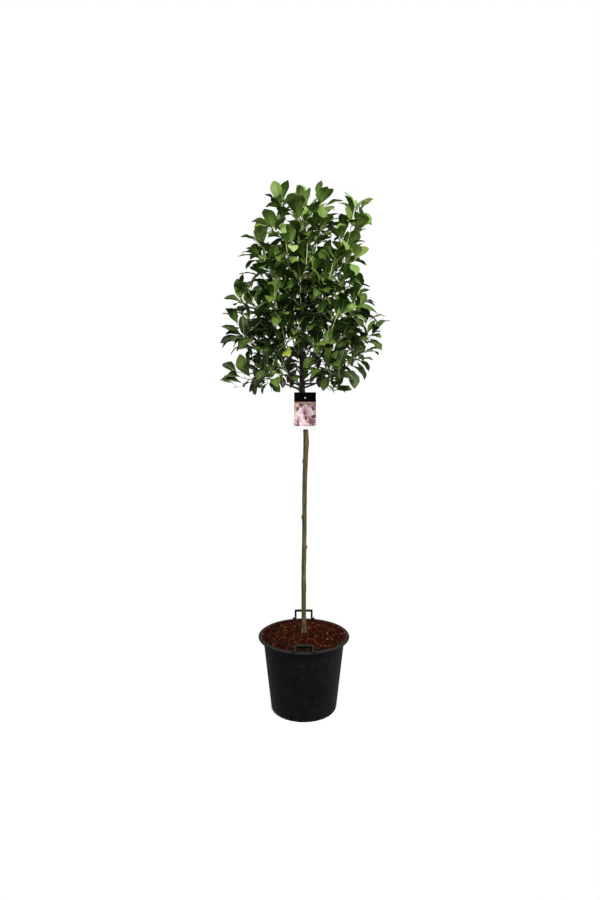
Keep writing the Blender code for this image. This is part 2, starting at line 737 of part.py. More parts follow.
def room_for_tag():
    """The tag and the air in front of it, where no leaf hangs."""
    half = TAG_WIDTH / 2 + 0.006
    depths = (TAG_BACK + 0.002, -0.34)
    points = [Vector((TAG_MIDDLE + x, y, z)) for y in depths for x, z in (
        (-half, TAG_LOW), (half, TAG_LOW), (half, TAG_HIGH + 0.006), (-half, TAG_HIGH + 0.006)
    )]
    faces = [(0, 1, 2, 3), (7, 6, 5, 4), (0, 4, 5, 1), (1, 5, 6, 2), (2, 6, 7, 3), (3, 7, 4, 0)]
    return points, faces


def grow_crown():
    shoots = plan_shoots()
    space = Space()
    clear = 0.001
    space.take(trunk_shape(clear), "trunk")
    space.take(room_for_tag(), "tag")
    for bough in BOUGHS:
        space.take(bough_shape(bough, clear), bough.name)
    for shoot in shoots:
        space.take(shoot.stem_shape(clear), shoot.name, 0)
    for shoot in shoots:
        shoot.grow_twigs(space)
    for shoot in shoots:
        shoot.grow_leaves(space)
    return shoots


def build_mass(shoot, look):
    """Joins a shoot's stem, twigs and leaves into one solid."""
    mass = add_object(shoot.name, *shoot.stem_shape(), look)
    parts = []
    for path, radii in shoot.twigs:
        parts.append(add_object(f"{shoot.name}_twig", *tube(path, radii, 3)))
    for leaf in shoot.leaves:
        parts.append(add_object(f"{shoot.name}_leaf", *leaf_shape(leaf, leaf.length * LEAF_THICKNESS)))
    group = combine(mass, "UNION", parts, "MANIFOLD")
    graph = bpy.context.evaluated_depsgraph_get()
    joined = bpy.data.meshes.new_from_object(mass.evaluated_get(graph))
    mass.modifiers.clear()
    mass.data = joined
    for part in parts:
        bpy.data.objects.remove(part)
    bpy.data.collections.remove(group)
    return mass


def main():
    for old in list(bpy.data.objects):
        bpy.data.objects.remove(old)
    plastic = material("black_polypropylene", "1C1D1E", 0.45)
    build_pot(plastic)
    build_soil(material("coir_and_bark_mix", "3A1F16", 0.95))
    build_handle("handle_front", -1, FOLDED_LEAN, plastic)
    build_handle("handle_back", 1, RAISED_LEAN, plastic)
    bark = material("magnolia_bark", "6B634C", 0.85)
    add_object("trunk", *trunk_shape(), bark, 40)
    build_tag(material("printed_card", "D9A9B8", 0.4))
    build_strap(material("strap_plastic", "0E0E10", 0.5))
    clearance = as_helper(add_object("trunk_clearance", *trunk_shape(GAP * 1.2)))
    twig_bark = material("young_bark", "3E352C", 0.8)
    for bough in BOUGHS:
        limb = add_object(f"bough_{bough.name}", *bough_shape(bough), twig_bark, 40)
        cut = limb.modifiers.new("Seat on the trunk", "BOOLEAN")
        cut.operation = "DIFFERENCE"
        cut.object = clearance
        cut.solver = "EXACT"
    foliage = material("magnolia_leaf", "4F7A35", 0.5)
    for shoot in grow_crown():
        build_mass(shoot, foliage)


main()
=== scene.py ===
"""A saucer magnolia grafted on a clear stem, growing in a black nursery pot, in a plain studio.

Metres, +Z up, -Y is the plant's front. Angles round the tree are in degrees, from 0 at +X (its right)
through 90 at +Y (its back). The sections follow the plant from the pot that it stands in to its leaves.
"""

import math
import random
from collections import namedtuple

import bmesh
import bpy
from mathutils import Matrix, Vector, noise
from mathutils.bvhtree import BVHTree
from mathutils.geometry import interpolate_bezier


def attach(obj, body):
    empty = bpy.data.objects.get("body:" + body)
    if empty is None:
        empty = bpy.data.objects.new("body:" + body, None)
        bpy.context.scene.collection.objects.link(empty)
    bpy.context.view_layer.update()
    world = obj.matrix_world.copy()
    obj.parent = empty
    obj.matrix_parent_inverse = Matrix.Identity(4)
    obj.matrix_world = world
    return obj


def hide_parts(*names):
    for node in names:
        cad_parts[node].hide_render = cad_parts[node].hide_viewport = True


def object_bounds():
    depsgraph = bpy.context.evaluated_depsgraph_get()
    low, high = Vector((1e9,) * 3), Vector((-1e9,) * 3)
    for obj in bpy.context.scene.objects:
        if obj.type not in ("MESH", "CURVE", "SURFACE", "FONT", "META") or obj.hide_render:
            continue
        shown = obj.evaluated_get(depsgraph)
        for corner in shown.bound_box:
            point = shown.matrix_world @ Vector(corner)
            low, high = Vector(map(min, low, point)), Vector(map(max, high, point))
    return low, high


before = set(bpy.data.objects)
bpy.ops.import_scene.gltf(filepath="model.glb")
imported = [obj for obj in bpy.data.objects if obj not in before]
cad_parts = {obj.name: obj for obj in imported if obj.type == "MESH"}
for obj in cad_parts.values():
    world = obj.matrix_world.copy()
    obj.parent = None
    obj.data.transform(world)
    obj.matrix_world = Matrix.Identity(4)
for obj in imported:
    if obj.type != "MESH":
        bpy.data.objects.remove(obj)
cad_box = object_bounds()

# The nursery pot. It is one injection moulding of black polypropylene, tapered so that pots nest, with a
# thin flat lip that stands out all round. Four lugs on the lip are for the two handles, with two stops for
# the back one, and eight round holes just above the base let water out.
UP = Vector((0, 0, 1))
GAP = 0.0003  # between pieces that touch
POT_HEIGHT = 0.330
BASE_RADIUS = 0.144
WALL_TOP_RADIUS = 0.1785
WALL = 0.003
LIP_RADIUS = 0.1995
LIP_THICKNESS = 0.005
LIP_UNDER = POT_HEIGHT - LIP_THICKNESS
POT_SIDES = 144
HOLE_SIDES = 24
DRAIN_HOLES = 8
DRAIN_HOLE_RADIUS = 0.006
DRAIN_HOLE_HEIGHT = 0.013
HINGE_RADIUS = 0.187
HINGE_HEIGHT = POT_HEIGHT + 0.0035
BAR_WIDTH = 0.009
HANDLE_HALF_WIDTH = 0.0375  # to the middle of each leg
PIN_RADIUS = 0.0022
SIDE_PLAY = 0.0008
LUG_THICKNESS = 0.008
LUG_DEPTH = 0.011
LUG_RISE = 0.0038  # above the hinge's axis
STOP_OFFSET = 0.0041  # from the hinge's axis to the face that the raised handle leans on
STOP_DEPTH = 0.0035
LUG_EDGE = 0.0009
STOP_EDGE = 0.0007


def linear(colour):
    """An sRGB hex colour as the linear red, green, blue and alpha that shaders use."""
    channels = [int(colour[i : i + 2], 16) / 255 for i in (0, 2, 4)]
    return (*(c / 12.92 if c <= 0.04045 else ((c + 0.055) / 1.055) ** 2.4 for c in channels), 1)


def per_mm(size):
    """The scale that gives a pattern features of a size in millimetres."""
    return 1000 / size


def connect(node, inputs):
    """Gives a node's inputs values, or links to outputs. A node stands for the first of its outputs."""
    for name, value in inputs.items():
        if isinstance(value, bpy.types.Node):
            value = next(output for output in value.outputs if output.enabled)
        if isinstance(value, bpy.types.NodeSocket):
            node.id_data.links.new(value, node.inputs[name])
        else:
            node.inputs[name].default_value = value


def add_node(tree, kind, inputs=None, stops=(), **settings):
    """Adds a node with its settings and inputs, and with the places and hex colours of a ramp's stops."""
    made = tree.nodes.new("ShaderNode" + kind)
    for name, value in settings.items():
        setattr(made, name, value)
    for number, (place, colour) in enumerate(stops):
        stop = made.color_ramp.elements[number] if number < 2 else made.color_ramp.elements.new(place)
        stop.position, stop.color = place, linear(colour)
    connect(made, inputs or {})
    return made


def new_finish(name, colour, **inputs):
    """A plain material, with its constant values set on the shader's own sockets."""
    made = bpy.data.materials.new(name)
    made.use_nodes = True
    made.diffuse_color = linear(colour)
    shader = made.node_tree.nodes["Principled BSDF"]
    values = {socket.replace("_", " "): value for socket, value in inputs.items()}
    connect(shader, {"Base Color": linear(colour), **values})
    return made


def worked_finish(name, colour, **inputs):
    """A material to be worked on, with its node tree, its shader and the place on the object."""
    made = new_finish(name, colour, **inputs)
    tree = made.node_tree
    return made, tree, tree.nodes["Principled BSDF"], add_node(tree, "TexCoord").outputs["Object"]


def add_mesh(name, points, faces, finishes, smooth_angle=None, slots=None):
    """A mesh object, smooth where its faces meet at less than smooth_angle degrees."""
    mesh = bpy.data.meshes.new(name)
    mesh.from_pydata([tuple(p) for p in points], [], faces)
    for finish in finishes:
        mesh.materials.append(finish)
    if slots:
        mesh.polygons.foreach_set("material_index", slots)
    if smooth_angle:
        mesh.shade_smooth()
        mesh.set_sharp_from_angle(angle=math.radians(smooth_angle))
    made = bpy.data.objects.new(name, mesh)
    bpy.context.scene.collection.objects.link(made)
    return made


def turned(profile, sides):
    """The points and faces of a solid of revolution, whose profile starts and ends on the axis."""
    points, rings = [], []
    for radius, height in profile:
        rings.append(range(len(points), len(points) + (sides if radius else 1)))
        for k in range(len(rings[-1])):
            turn = 2 * math.pi * k / sides
            points.append((radius * math.cos(turn), radius * math.sin(turn), height))
    faces = []
    for low, high in zip(rings, rings[1:]):
        for k in range(sides):
            n = (k + 1) % sides
            corners = [low[k % len(low)], high[k % len(high)], high[n % len(high)], low[n % len(low)]]
            faces.append(tuple(dict.fromkeys(corners)))
    return points, faces


def arc(middle, radius, start, end, steps):
    """Points on an arc of a profile, from one angle in degrees to another."""
    turns = [math.radians(start + (end - start) * i / steps) for i in range(steps + 1)]
    return [(middle[0] + radius * math.cos(t), middle[1] + radius * math.sin(t)) for t in turns]


def wall_radius(height):
    """The pot wall's outer radius at a height."""
    return BASE_RADIUS + (WALL_TOP_RADIUS - BASE_RADIUS) * height / LIP_UNDER


def block(low, high, edge):
    """A box with rounded edges."""
    low, high = Vector(low), Vector(high)
    shape = bmesh.new()
    place = Matrix.Translation((low + high) / 2) @ Matrix.Diagonal((*(high - low), 1))
    bmesh.ops.create_cube(shape, size=1, matrix=place)
    bmesh.ops.bevel(shape, geom=shape.edges[:], offset=edge, segments=3, profile=0.5, affect="EDGES")
    return as_tool(shape)


def bar(start, end, radius, sides):
    """A straight round bar."""
    start, end = Vector(start), Vector(end)
    turn = (end - start).to_track_quat("Z", "X").to_matrix().to_4x4()
    place = Matrix.Translation((start + end) / 2) @ turn
    sizes = {"segments": sides, "radius1": radius, "radius2": radius, "depth": (end - start).length}
    shape = bmesh.new()
    bmesh.ops.create_cone(shape, cap_ends=True, matrix=place, **sizes)
    return as_tool(shape)


def as_tool(shape):
    """An object that only shapes another."""
    mesh = bpy.data.meshes.new("tool")
    shape.to_mesh(mesh)
    shape.free()
    made = bpy.data.objects.new("tool", mesh)
    bpy.context.scene.collection.objects.link(made)
    return made


def combine(piece, operation, tools):
    """Joins tools to a piece or cuts them out of it, and removes them."""
    group = bpy.data.collections.new("tools")
    bpy.context.scene.collection.children.link(group)
    for tool in tools:
        group.objects.link(tool)
        bpy.context.scene.collection.objects.unlink(tool)
    change = piece.modifiers.new("Combine", "BOOLEAN")
    change.operation = operation
    change.operand_type = "COLLECTION"
    change.collection = group
    change.solver = "EXACT"
    graph = bpy.context.evaluated_depsgraph_get()
    result = bpy.data.meshes.new_from_object(piece.evaluated_get(graph))
    piece.modifiers.clear()
    piece.data = result
    for tool in tools:
        bpy.data.objects.remove(tool)
    bpy.data.collections.remove(group)


# Black polypropylene, spark-eroded mould: matt, with a fine even grain, paler scuffs from handling, and
# brown dust of the mix on whatever faces up. The eye gets a soft wide sheen and no mirror image. The grain
# is really much finer, and is drawn at 1.2 mm so that it shows.
pot_plastic, tree, shader, place = worked_finish(
    "moulded_black_polypropylene", "060707", Roughness=0.5, IOR=1.49, Specular_IOR_Level=0.11
)
scuffs = add_node(tree, "TexNoise", {"Vector": place, "Scale": per_mm(28), "Detail": 6, "Roughness": 0.65})
dull = add_node(tree, "MapRange", {"Value": scuffs, "From Min": 0.35, "From Max": 0.7})
connect(dull, {"To Min": 0.42, "To Max": 0.62})
worn = add_node(tree, "ValToRGB", {"Fac": scuffs}, ((0.35, "030404"), (0.56, "090A0B"), (0.74, "191A1C")))
facing = add_node(tree, "NewGeometry").outputs["Normal"]
upward = add_node(tree, "SeparateXYZ", {"Vector": facing}).outputs["Z"]
level = add_node(tree, "MapRange", {"Value": upward, "From Min": 0.7, "From Max": 1.6})
settled = add_node(tree, "Math", {0: level, 1: scuffs}, operation="MULTIPLY")
dusty = add_node(tree, "Mix", {"Factor": settled, "A": worn, "B": linear("3F3830")}, data_type="RGBA")
grain = add_node(tree, "TexNoise", {"Vector": place, "Scale": per_mm(1.2), "Detail": 3})
relief = add_node(tree, "Bump", {"Height": grain, "Strength": 0.35, "Distance": 0.0002})
connect(shader, {"Base Color": dusty, "Roughness": dull, "Normal": relief})

inner_floor = wall_radius(WALL) - WALL
pot_profile = [
    (0, WALL),
    (inner_floor - 0.004, WALL),
    (inner_floor - 0.001, WALL + 0.002),
    (inner_floor + 0.001, WALL + 0.006),
    (WALL_TOP_RADIUS - WALL, LIP_UNDER),
    *arc((WALL_TOP_RADIUS, LIP_UNDER + 0.002), WALL, 180, 90, 6),
    (0.1815, POT_HEIGHT),
    (0.1825, POT_HEIGHT - 0.0005),
    (0.1935, POT_HEIGHT - 0.0005),
    (0.1945, POT_HEIGHT),
    *arc((LIP_RADIUS - 0.003, POT_HEIGHT - 0.003), 0.003, 90, 0, 7),
    *arc((LIP_RADIUS - 0.002, POT_HEIGHT - 0.003), 0.002, 0, -90, 4)[1:],
    (WALL_TOP_RADIUS + 0.0016, LIP_UNDER),
    (WALL_TOP_RADIUS + 0.0004, LIP_UNDER - 0.0006),
    (wall_radius(LIP_UNDER - 0.003), LIP_UNDER - 0.003),
    *((wall_radius(height), height) for height in (0.28, 0.22, 0.16, 0.10, 0.04, 0.009)),
    (BASE_RADIUS - 0.0004, 0.0052),
    (BASE_RADIUS - 0.0022, 0.0022),
    (BASE_RADIUS - 0.0052, 0.0006),
    (BASE_RADIUS - 0.009, 0),
    (0.118, 0),
    (0.1165, 0.0012),
    (0, 0.0012),
]
pot = add_mesh("nursery_pot", *turned(pot_profile, POT_SIDES), [pot_plastic])
near = HANDLE_HALF_WIDTH + BAR_WIDTH / 2 + SIDE_PLAY
far = near + LUG_THICKNESS
foot = POT_HEIGHT - LIP_THICKNESS / 2
lug_top = HINGE_HEIGHT + LUG_RISE
mounts, holes = [], []
for front in (-1, 1):
    middle = front * HINGE_RADIUS
    stop_face = middle - STOP_OFFSET
    for side in (-1, 1):
        left, right = sorted((side * near, side * far))
        low, high = (left, middle - LUG_DEPTH / 2, foot), (right, middle + LUG_DEPTH / 2, lug_top)
        mounts.append(block(low, high, LUG_EDGE))
        left, right = sorted((side * (HANDLE_HALF_WIDTH - 0.003), side * (near + far) / 2))
        low, high = (left, stop_face - STOP_DEPTH, foot), (right, stop_face, lug_top - 0.001)
        if front > 0:
            mounts.append(block(low, high, STOP_EDGE))
    ends = ((side * (far + 0.01), middle, HINGE_HEIGHT) for side in (-1, 1))
    holes.append(bar(*ends, PIN_RADIUS + GAP, HOLE_SIDES))
for number in range(DRAIN_HOLES):
    turn = math.radians((number + 0.5) * 360 / DRAIN_HOLES)
    way = Vector((math.cos(turn), math.sin(turn), 0))
    inner, outer = (way * (BASE_RADIUS + shift) + UP * DRAIN_HOLE_HEIGHT for shift in (-0.012, 0.012))
    holes.append(bar(inner, outer, DRAIN_HOLE_RADIUS, HOLE_SIDES))
combine(pot, "UNION", mounts)
combine(pot, "DIFFERENCE", holes)
pot.data.shade_smooth()
pot.data.set_sharp_from_angle(angle=math.radians(32))
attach(pot, "root")
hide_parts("pot")

# The two lifting handles. Each is a thick bail of the same polypropylene with well rounded edges, thinned
# round its hinge, whose pins are sprung into the holes of its two lugs, so that it swings. The front one
# lies folded inwards over the mix, and the back one stands up and leans on its stops.
HANDLE_RISE = 0.040  # from the hinge's axis to the middle of the crossbar
BAR_EDGE = 0.0022
LEG_END_RADIUS = 0.003
LEG_FULL_RISE = 0.0085  # where a leg has its full thickness
FOLDED_LEAN = 78  # degrees inwards past upright
RAISED_LEAN = 6
PIN_SIDES = 20
ABOVE = 0.060  # higher than a handle's top
BESIDE = 0.050  # further out than its sides


def rounded(corners, radius, steps):
    """A path through corners, each but the ends replaced by an arc."""
    corners = [Vector(c) for c in corners]
    path = [corners[0]]
    for before, corner, after in zip(corners, corners[1:], corners[2:]):
        start = corner + (before - corner).normalized() * radius
        end = corner + (after - corner).normalized() * radius
        path += interpolate_bezier(start, start.lerp(corner, 0.55), end.lerp(corner, 0.55), end, steps + 1)
    return [*path, corners[-1]]


def ring_faces(rings, sides):
    """The faces round a row of rings of points, and its two flat caps."""
    faces = []
    last = (rings - 1) * sides
    for ring in range(0, last, sides):
        for k in range(sides):
            a, b = ring + k, ring + (k + 1) % sides
            faces.append((a, b, b + sides, a + sides))
    return [*faces, tuple(reversed(range(sides))), tuple(range(last, last + sides))]


def slab(outline, depth):
    """A flat outline drawn out by depth, a length in each direction."""
    shape = bmesh.new()
    corners = [shape.verts.new(Vector(corner)) for corner in outline]
    corners += [shape.verts.new(Vector(corner) + Vector(depth)) for corner in outline]
    for face in ring_faces(2, len(outline)):
        shape.faces.new([corners[k] for k in face])
    bmesh.ops.recalc_face_normals(shape, faces=shape.faces)
    return as_tool(shape)


def tube(path, radii, sides, first_way=None, last_way=None):
    """A round limb along a path, whose flat caps can face first_way and last_way."""
    points = []
    ways = [after - before for before, after in zip([path[0], *path], [*path[1:], path[-1]])]
    ways[0], ways[-1] = first_way or ways[0], last_way or ways[-1]
    side = ways[0].orthogonal().normalized()
    for place, radius, way in zip(path, radii, ways):
        ahead = way.normalized()
        side = (side - ahead * side.dot(ahead)).normalized()
        other = ahead.cross(side)
        for k in range(sides):
            turn = 2 * math.pi * k / sides
            points.append(place + (side * math.cos(turn) + other * math.sin(turn)) * radius)
    return points, ring_faces(len(path), sides)


# The same polypropylene from a polished mould, rubbed by hands: a tighter sheen than the pot's wall.
handle_plastic, tree, shader, place = worked_finish(
    "polished_black_polypropylene", "050606", Roughness=0.34, IOR=1.49, Specular_IOR_Level=0.22
)
rubbed = add_node(tree, "TexNoise", {"Vector": place, "Scale": per_mm(9), "Detail": 4})
dull = add_node(tree, "MapRange", {"Value": rubbed, "From Min": 0.3, "From Max": 0.7})
connect(dull, {"To Min": 0.28, "To Max": 0.46})
worn = add_node(tree, "ValToRGB", {"Fac": rubbed}, ((0.3, "030404"), (0.75, "090A0A")))
connect(shader, {"Base Color": worn, "Roughness": dull})

arm = BAR_WIDTH / 2
wide, slim = HANDLE_HALF_WIDTH + arm, HANDLE_HALF_WIDTH - arm
high, low = HANDLE_RISE + arm, HANDLE_RISE - arm
leg_end = -LEG_END_RADIUS - 0.0005
outer = rounded([(wide, 0, leg_end), (wide, 0, high), (-wide, 0, high), (-wide, 0, leg_end)], 0.0045, 8)
inner = rounded([(-slim, 0, leg_end), (-slim, 0, low), (slim, 0, low), (slim, 0, leg_end)], 0.002, 5)
bail = [corner - Vector((0, arm, 0)) for corner in (*outer, *inner)]
turns = [math.pi * i / 12 for i in range(13)]
side_view = [(-math.cos(turn) * LEG_END_RADIUS, -math.sin(turn) * LEG_END_RADIUS) for turn in turns]
just_out = arm + 0.0001
side_view += [(just_out, LEG_FULL_RISE), (just_out, ABOVE), (-just_out, ABOVE), (-just_out, LEG_FULL_RISE)]
side_view = [(-BESIDE, y, z) for y, z in side_view]
pin_end = wide + SIDE_PLAY + LUG_THICKNESS - 0.001
for body, front, lean in (("handle_front", -1, FOLDED_LEAN), ("handle_back", 1, RAISED_LEAN)):
    handle = slab(bail, (0, BAR_WIDTH, 0))
    handle.name = f"{body}_bar"
    handle.data.materials.append(handle_plastic)
    edge = handle.modifiers.new("Round the edges", "BEVEL")
    edge.width = BAR_EDGE
    edge.segments = 5
    edge.angle_limit = math.radians(60)
    combine(handle, "INTERSECT", [slab(side_view, (2 * BESIDE, 0, 0))])
    spans = [((side * HANDLE_HALF_WIDTH, 0, 0), (side * pin_end, 0, 0)) for side in (-1, 1)]
    combine(handle, "UNION", [bar(*span, PIN_RADIUS, PIN_SIDES) for span in spans])
    handle.data.shade_smooth()
    handle.data.set_sharp_from_angle(angle=math.radians(35))
    swing = Matrix.Rotation(front * math.radians(lean), 4, "X")
    handle.data.transform(Matrix.Translation((0, front * HINGE_RADIUS, HINGE_HEIGHT)) @ swing)
    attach(handle, body)
    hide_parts(body)

# The potting mix. Coir and bark fines fill the pot to just over the wall's top and mound up to the stem,
# and a layer of bark chips with loose coir strands is strewn over them against weeds.
SOIL_TOP = 0.338
SOIL_EDGE = 0.327
MOUND = ((0.050, SOIL_TOP), (0.105, SOIL_TOP - 0.002), (0.150, SOIL_TOP - 0.006))
CHIPS = 6700
CHIPS_REACH = 0.188
BED_REACH = 0.166  # from where the chips' bed passes over the wall onto the lip
LUG_PLACE = 0.0425  # sideways, where no chip lies on a lug
LUG_ROOM = 0.014
LUG_FROM = 0.170
STRANDS = 260
STRANDS_REACH = 0.160
STEM_PLACE = Vector((0, 0.015))
mulch_rng = random.Random(7)


def soil_height(radius):
    """The height of the mix's smooth surface at a distance from the pot's middle."""
    stations = [(0, SOIL_TOP), *MOUND, (wall_radius(SOIL_EDGE) - WALL, SOIL_EDGE)]
    for (near_radius, near_height), (far_radius, far_height) in zip(stations, stations[1:]):
        if radius <= far_radius:
            share = (radius - near_radius) / (far_radius - near_radius)
            return near_height + (far_height - near_height) * share
    return SOIL_EDGE


def mottled_finish(name, colour, size, stops, pattern=None, relief=None, stretch=None, **inputs):
    """A material in patches of a size in mm that wander between shades, whose relief, if any, sinks where
    they are dark: painted shade in its hollows.
    """
    made, tree, shader, place = worked_finish(name, colour, **inputs)
    if stretch:
        place = add_node(tree, "Mapping", {"Vector": place, "Scale": stretch})
    patches = {"Vector": place, "Scale": per_mm(size), **(pattern or {"Detail": 2})}
    patches = add_node(tree, "TexNoise", patches)
    connect(shader, {"Base Color": add_node(tree, "ValToRGB", {"Fac": patches}, stops)})
    # With relief, the dark patches are also the low ones, which paints shade into the hollows.
    if relief:
        strength, distance = relief
        bump = add_node(tree, "Bump", {"Height": patches, "Strength": strength, "Distance": distance})
        connect(shader, {"Normal": bump})
    return made


def shade_range(name, colours, **inputs):
    """Finishes that differ only in their shade, numbered from 0."""
    return [new_finish(f"{name}_{number}", colour, **inputs) for number, colour in enumerate(colours)]


# Damp coir and bark fines: crumbly and dark, with painted shade nearly black between the crumbs, and no
# gloss at all.
damp_mix = mottled_finish(
    "damp_coir_and_bark_fines", "190A05", 4, ((0.3, "0A0302"), (0.55, "1B0B06"), (0.75, "30150B")),
    {"Detail": 8, "Roughness": 0.7}, relief=(0.9, 0.002), Roughness=0.95, Specular_IOR_Level=0.05
)

soil_edge = wall_radius(SOIL_EDGE) - WALL - GAP * 1.5
rings = [soil_edge * math.sqrt(i / 46) for i in range(47)]
soil_profile = [(radius, soil_height(radius) - 0.0022) for radius in rings]
soil_profile += [
    (inner_floor + 0.001 - GAP * 1.5, WALL + GAP + 0.006),
    (inner_floor - 0.004 - GAP * 1.5, WALL + GAP),
    (0, WALL + GAP),
]
soil_points, soil_faces = turned([(r, z) for r, z in reversed(soil_profile)], 120)
lumpy = []
for x, y, z in soil_points:
    if z > SOIL_EDGE / 2:
        z += noise.noise(Vector((x, y, 0)) * per_mm(14)) * 0.0018
        z += noise.noise(Vector((x, y, 5)) * per_mm(5)) * 0.0010
    lumpy.append((x, y, z))
soil = add_mesh("potting_mix", lumpy, soil_faces, [damp_mix], 60)
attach(soil, "root")
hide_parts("soil")


def mulch_reach(turn):
    """How far out the chips lie. They spill onto the lip, but less in front, and clear of its handle, where
    the bare dark soil stands in for the handle's shade.
    """
    front = max(-math.sin(turn), 0)
    # The bare patch under the folded front handle: its dark soil is painted shade of the handle.
    bare = math.exp(-((math.cos(turn) / 0.24) ** 4)) if front else 0
    ragged = 0.0012 * math.sin(turn * 7 + 1) + 0.0008 * math.sin(turn * 17)
    return 0.1868 - 0.0150 * front**3 - 0.020 * bare + ragged


def mulch_bed(radius):
    """The height that the chips lie at: the mix's own, then over the wall's top and down onto the lip."""
    if radius < BED_REACH:
        return soil_height(radius)
    share = min((radius - BED_REACH) / 0.008, 1)
    over = POT_HEIGHT + 0.0012 - 0.0020 * min(max((radius - 0.179) / 0.005, 0), 1)
    return soil_height(BED_REACH) * (1 - share) + over * share


# Milled pine bark: flat chips, dark and damp or dried to red-brown, with some corky tan faces.
CHIP_COLOURS = ("120401", "1F0803", "2E0E04", "3D1506", "4F200D", "69381B", "835F38")
CHIP_SHARES = (46, 54, 50, 30, 14, 5, 1)
chip_finishes = shade_range("milled_bark_chip", CHIP_COLOURS, Roughness=0.85, Specular_IOR_Level=0.03)
CUBE_FACES = ((0, 2, 3, 1), (4, 5, 7, 6), (0, 1, 5, 4), (2, 6, 7, 3), (0, 4, 6, 2), (1, 3, 7, 5))
points, faces, slots = [], [], []
for number in range(CHIPS):
    turn, radius = mulch_rng.uniform(0, 2 * math.pi), CHIPS_REACH * math.sqrt(mulch_rng.random())
    spot = Vector((math.cos(turn), math.sin(turn))) * radius
    length = min(mulch_rng.lognormvariate(math.log(0.0068), 0.42), 0.019)
    broad = length * mulch_rng.uniform(0.3, 0.7)
    thick = mulch_rng.uniform(0.0008, 0.0022)
    if (spot - STEM_PLACE).length < 0.0135 + length / 2 or radius + length / 2 > mulch_reach(turn):
        continue
    if abs(abs(spot.x) - LUG_PLACE) < LUG_ROOM and abs(spot.y) > LUG_FROM:
        continue
    lift = mulch_rng.uniform(-0.0012, 0.0016) + (0.0022 if number > CHIPS * 0.62 else 0)
    lean = Matrix.Rotation(mulch_rng.uniform(0, 2 * math.pi), 3, "Z")
    lean = lean @ Matrix.Rotation(mulch_rng.gauss(0, 0.32), 3, "Y")
    lean = lean @ Matrix.Rotation(mulch_rng.gauss(0, 0.4), 3, "X")
    middle = Vector((*spot, mulch_bed(radius) + lift - 0.0012))
    first = len(points)
    for z in (-1, 1):
        for y in (-1, 1):
            for x in (-1, 1):
                corner = Vector((x * length, y * broad, z * thick)) / 2
                corner.x *= mulch_rng.uniform(0.6, 1.0)
                corner.y *= mulch_rng.uniform(0.5, 1.0)
                corner.z *= mulch_rng.uniform(0.5, 1.0)
                points.append(middle + lean @ corner)
    faces += [tuple(first + k for k in corners) for corners in CUBE_FACES]
    slots += mulch_rng.choices(range(len(CHIP_COLOURS)), CHIP_SHARES) * 6
chips = add_mesh("bark_chips", points, faces, chip_finishes, None, slots)
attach(chips, "root")
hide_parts("soil")

# Coir strands: springy, rough fibres of coconut husk, pale where they have dried.
STRAND_COLOURS = ("42210F", "5C3A1F", "785836")
strand_finishes = shade_range("dry_coir_strand", STRAND_COLOURS, Roughness=0.8)
points, faces, slots = [], [], []
for _ in range(STRANDS):
    turn, radius = mulch_rng.uniform(0, 2 * math.pi), STRANDS_REACH * math.sqrt(mulch_rng.random())
    spot = Vector((math.cos(turn), math.sin(turn))) * radius
    heading = mulch_rng.uniform(0, 2 * math.pi)
    curl = mulch_rng.uniform(-0.5, 0.5)
    step = mulch_rng.uniform(0.0014, 0.0036)
    path = []
    for _ in range(6):
        path.append(Vector((*spot, soil_height(spot.length) + mulch_rng.uniform(0.0008, 0.0028))))
        heading += curl + mulch_rng.uniform(-0.25, 0.25)
        spot += Vector((math.cos(heading), math.sin(heading))) * step
    if spot.length > 0.168 or min((Vector(p[:2]) - STEM_PLACE).length for p in path) < 0.016:
        continue
    thick = mulch_rng.uniform(0.00018, 0.00034)
    strand_points, strand_faces = tube(path, [thick] * 6, 4)
    faces += [tuple(len(points) + k for k in face) for face in strand_faces]
    points += strand_points
    slots += [mulch_rng.randrange(len(STRAND_COLOURS))] * len(strand_faces)
strands = add_mesh("coir_strands", points, faces, strand_finishes, 60, slots)
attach(strands, "root")
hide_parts("soil")

# The trunk. A rooted understock was grown as one clear stem and trimmed of its side shoots, whose healed
# stubs still show, and the saucer magnolia was grafted on at the swelling just under the crown.
TRUNK = (  # height, sideways and front-to-back place of its middle, and radius
    (0.3383, 0.000, 0.015, 0.0145),
    (0.355, 0.000, 0.015, 0.0115),
    (0.385, 0.000, 0.015, 0.0102),
    (0.550, -0.001, 0.014, 0.0100),
    (0.800, 0.002, 0.012, 0.0099),
    (1.000, 0.003, 0.010, 0.0101),
    (1.165, 0.008, 0.006, 0.0110),
    (1.250, 0.006, 0.003, 0.0112),
    (1.345, -0.005, 0.000, 0.0130),
    (1.385, -0.008, 0.000, 0.0140),
    (1.430, -0.009, 0.000, 0.0108),
    (1.550, -0.010, 0.002, 0.0088),
    (1.700, -0.009, 0.004, 0.0066),
    (1.850, -0.014, 0.006, 0.0045),
    (1.970, -0.022, 0.010, 0.0028),
)
TRUNK_SIDES = 56
TRUNK_RINGS = 760
STUBS = (  # height, side, how far it stands out, its half height and half width in radians
    (1.100, 196, 0.0042, 0.0055, 0.42),
    (0.856, 188, 0.0034, 0.0060, 0.40),
    (0.723, 352, 0.0046, 0.0052, 0.40),
    (0.535, 10, 0.0018, 0.0160, 0.75),
    (0.960, 96, 0.0030, 0.0055, 0.40),
    (0.640, 232, 0.0022, 0.0070, 0.45),
    (1.181, 350, 0.0020, 0.0180, 0.80),
    (0.470, 120, 0.0028, 0.0060, 0.42),
    (1.262, 60, 0.0026, 0.0060, 0.42),
)
GRAFT_HEIGHT = 1.385


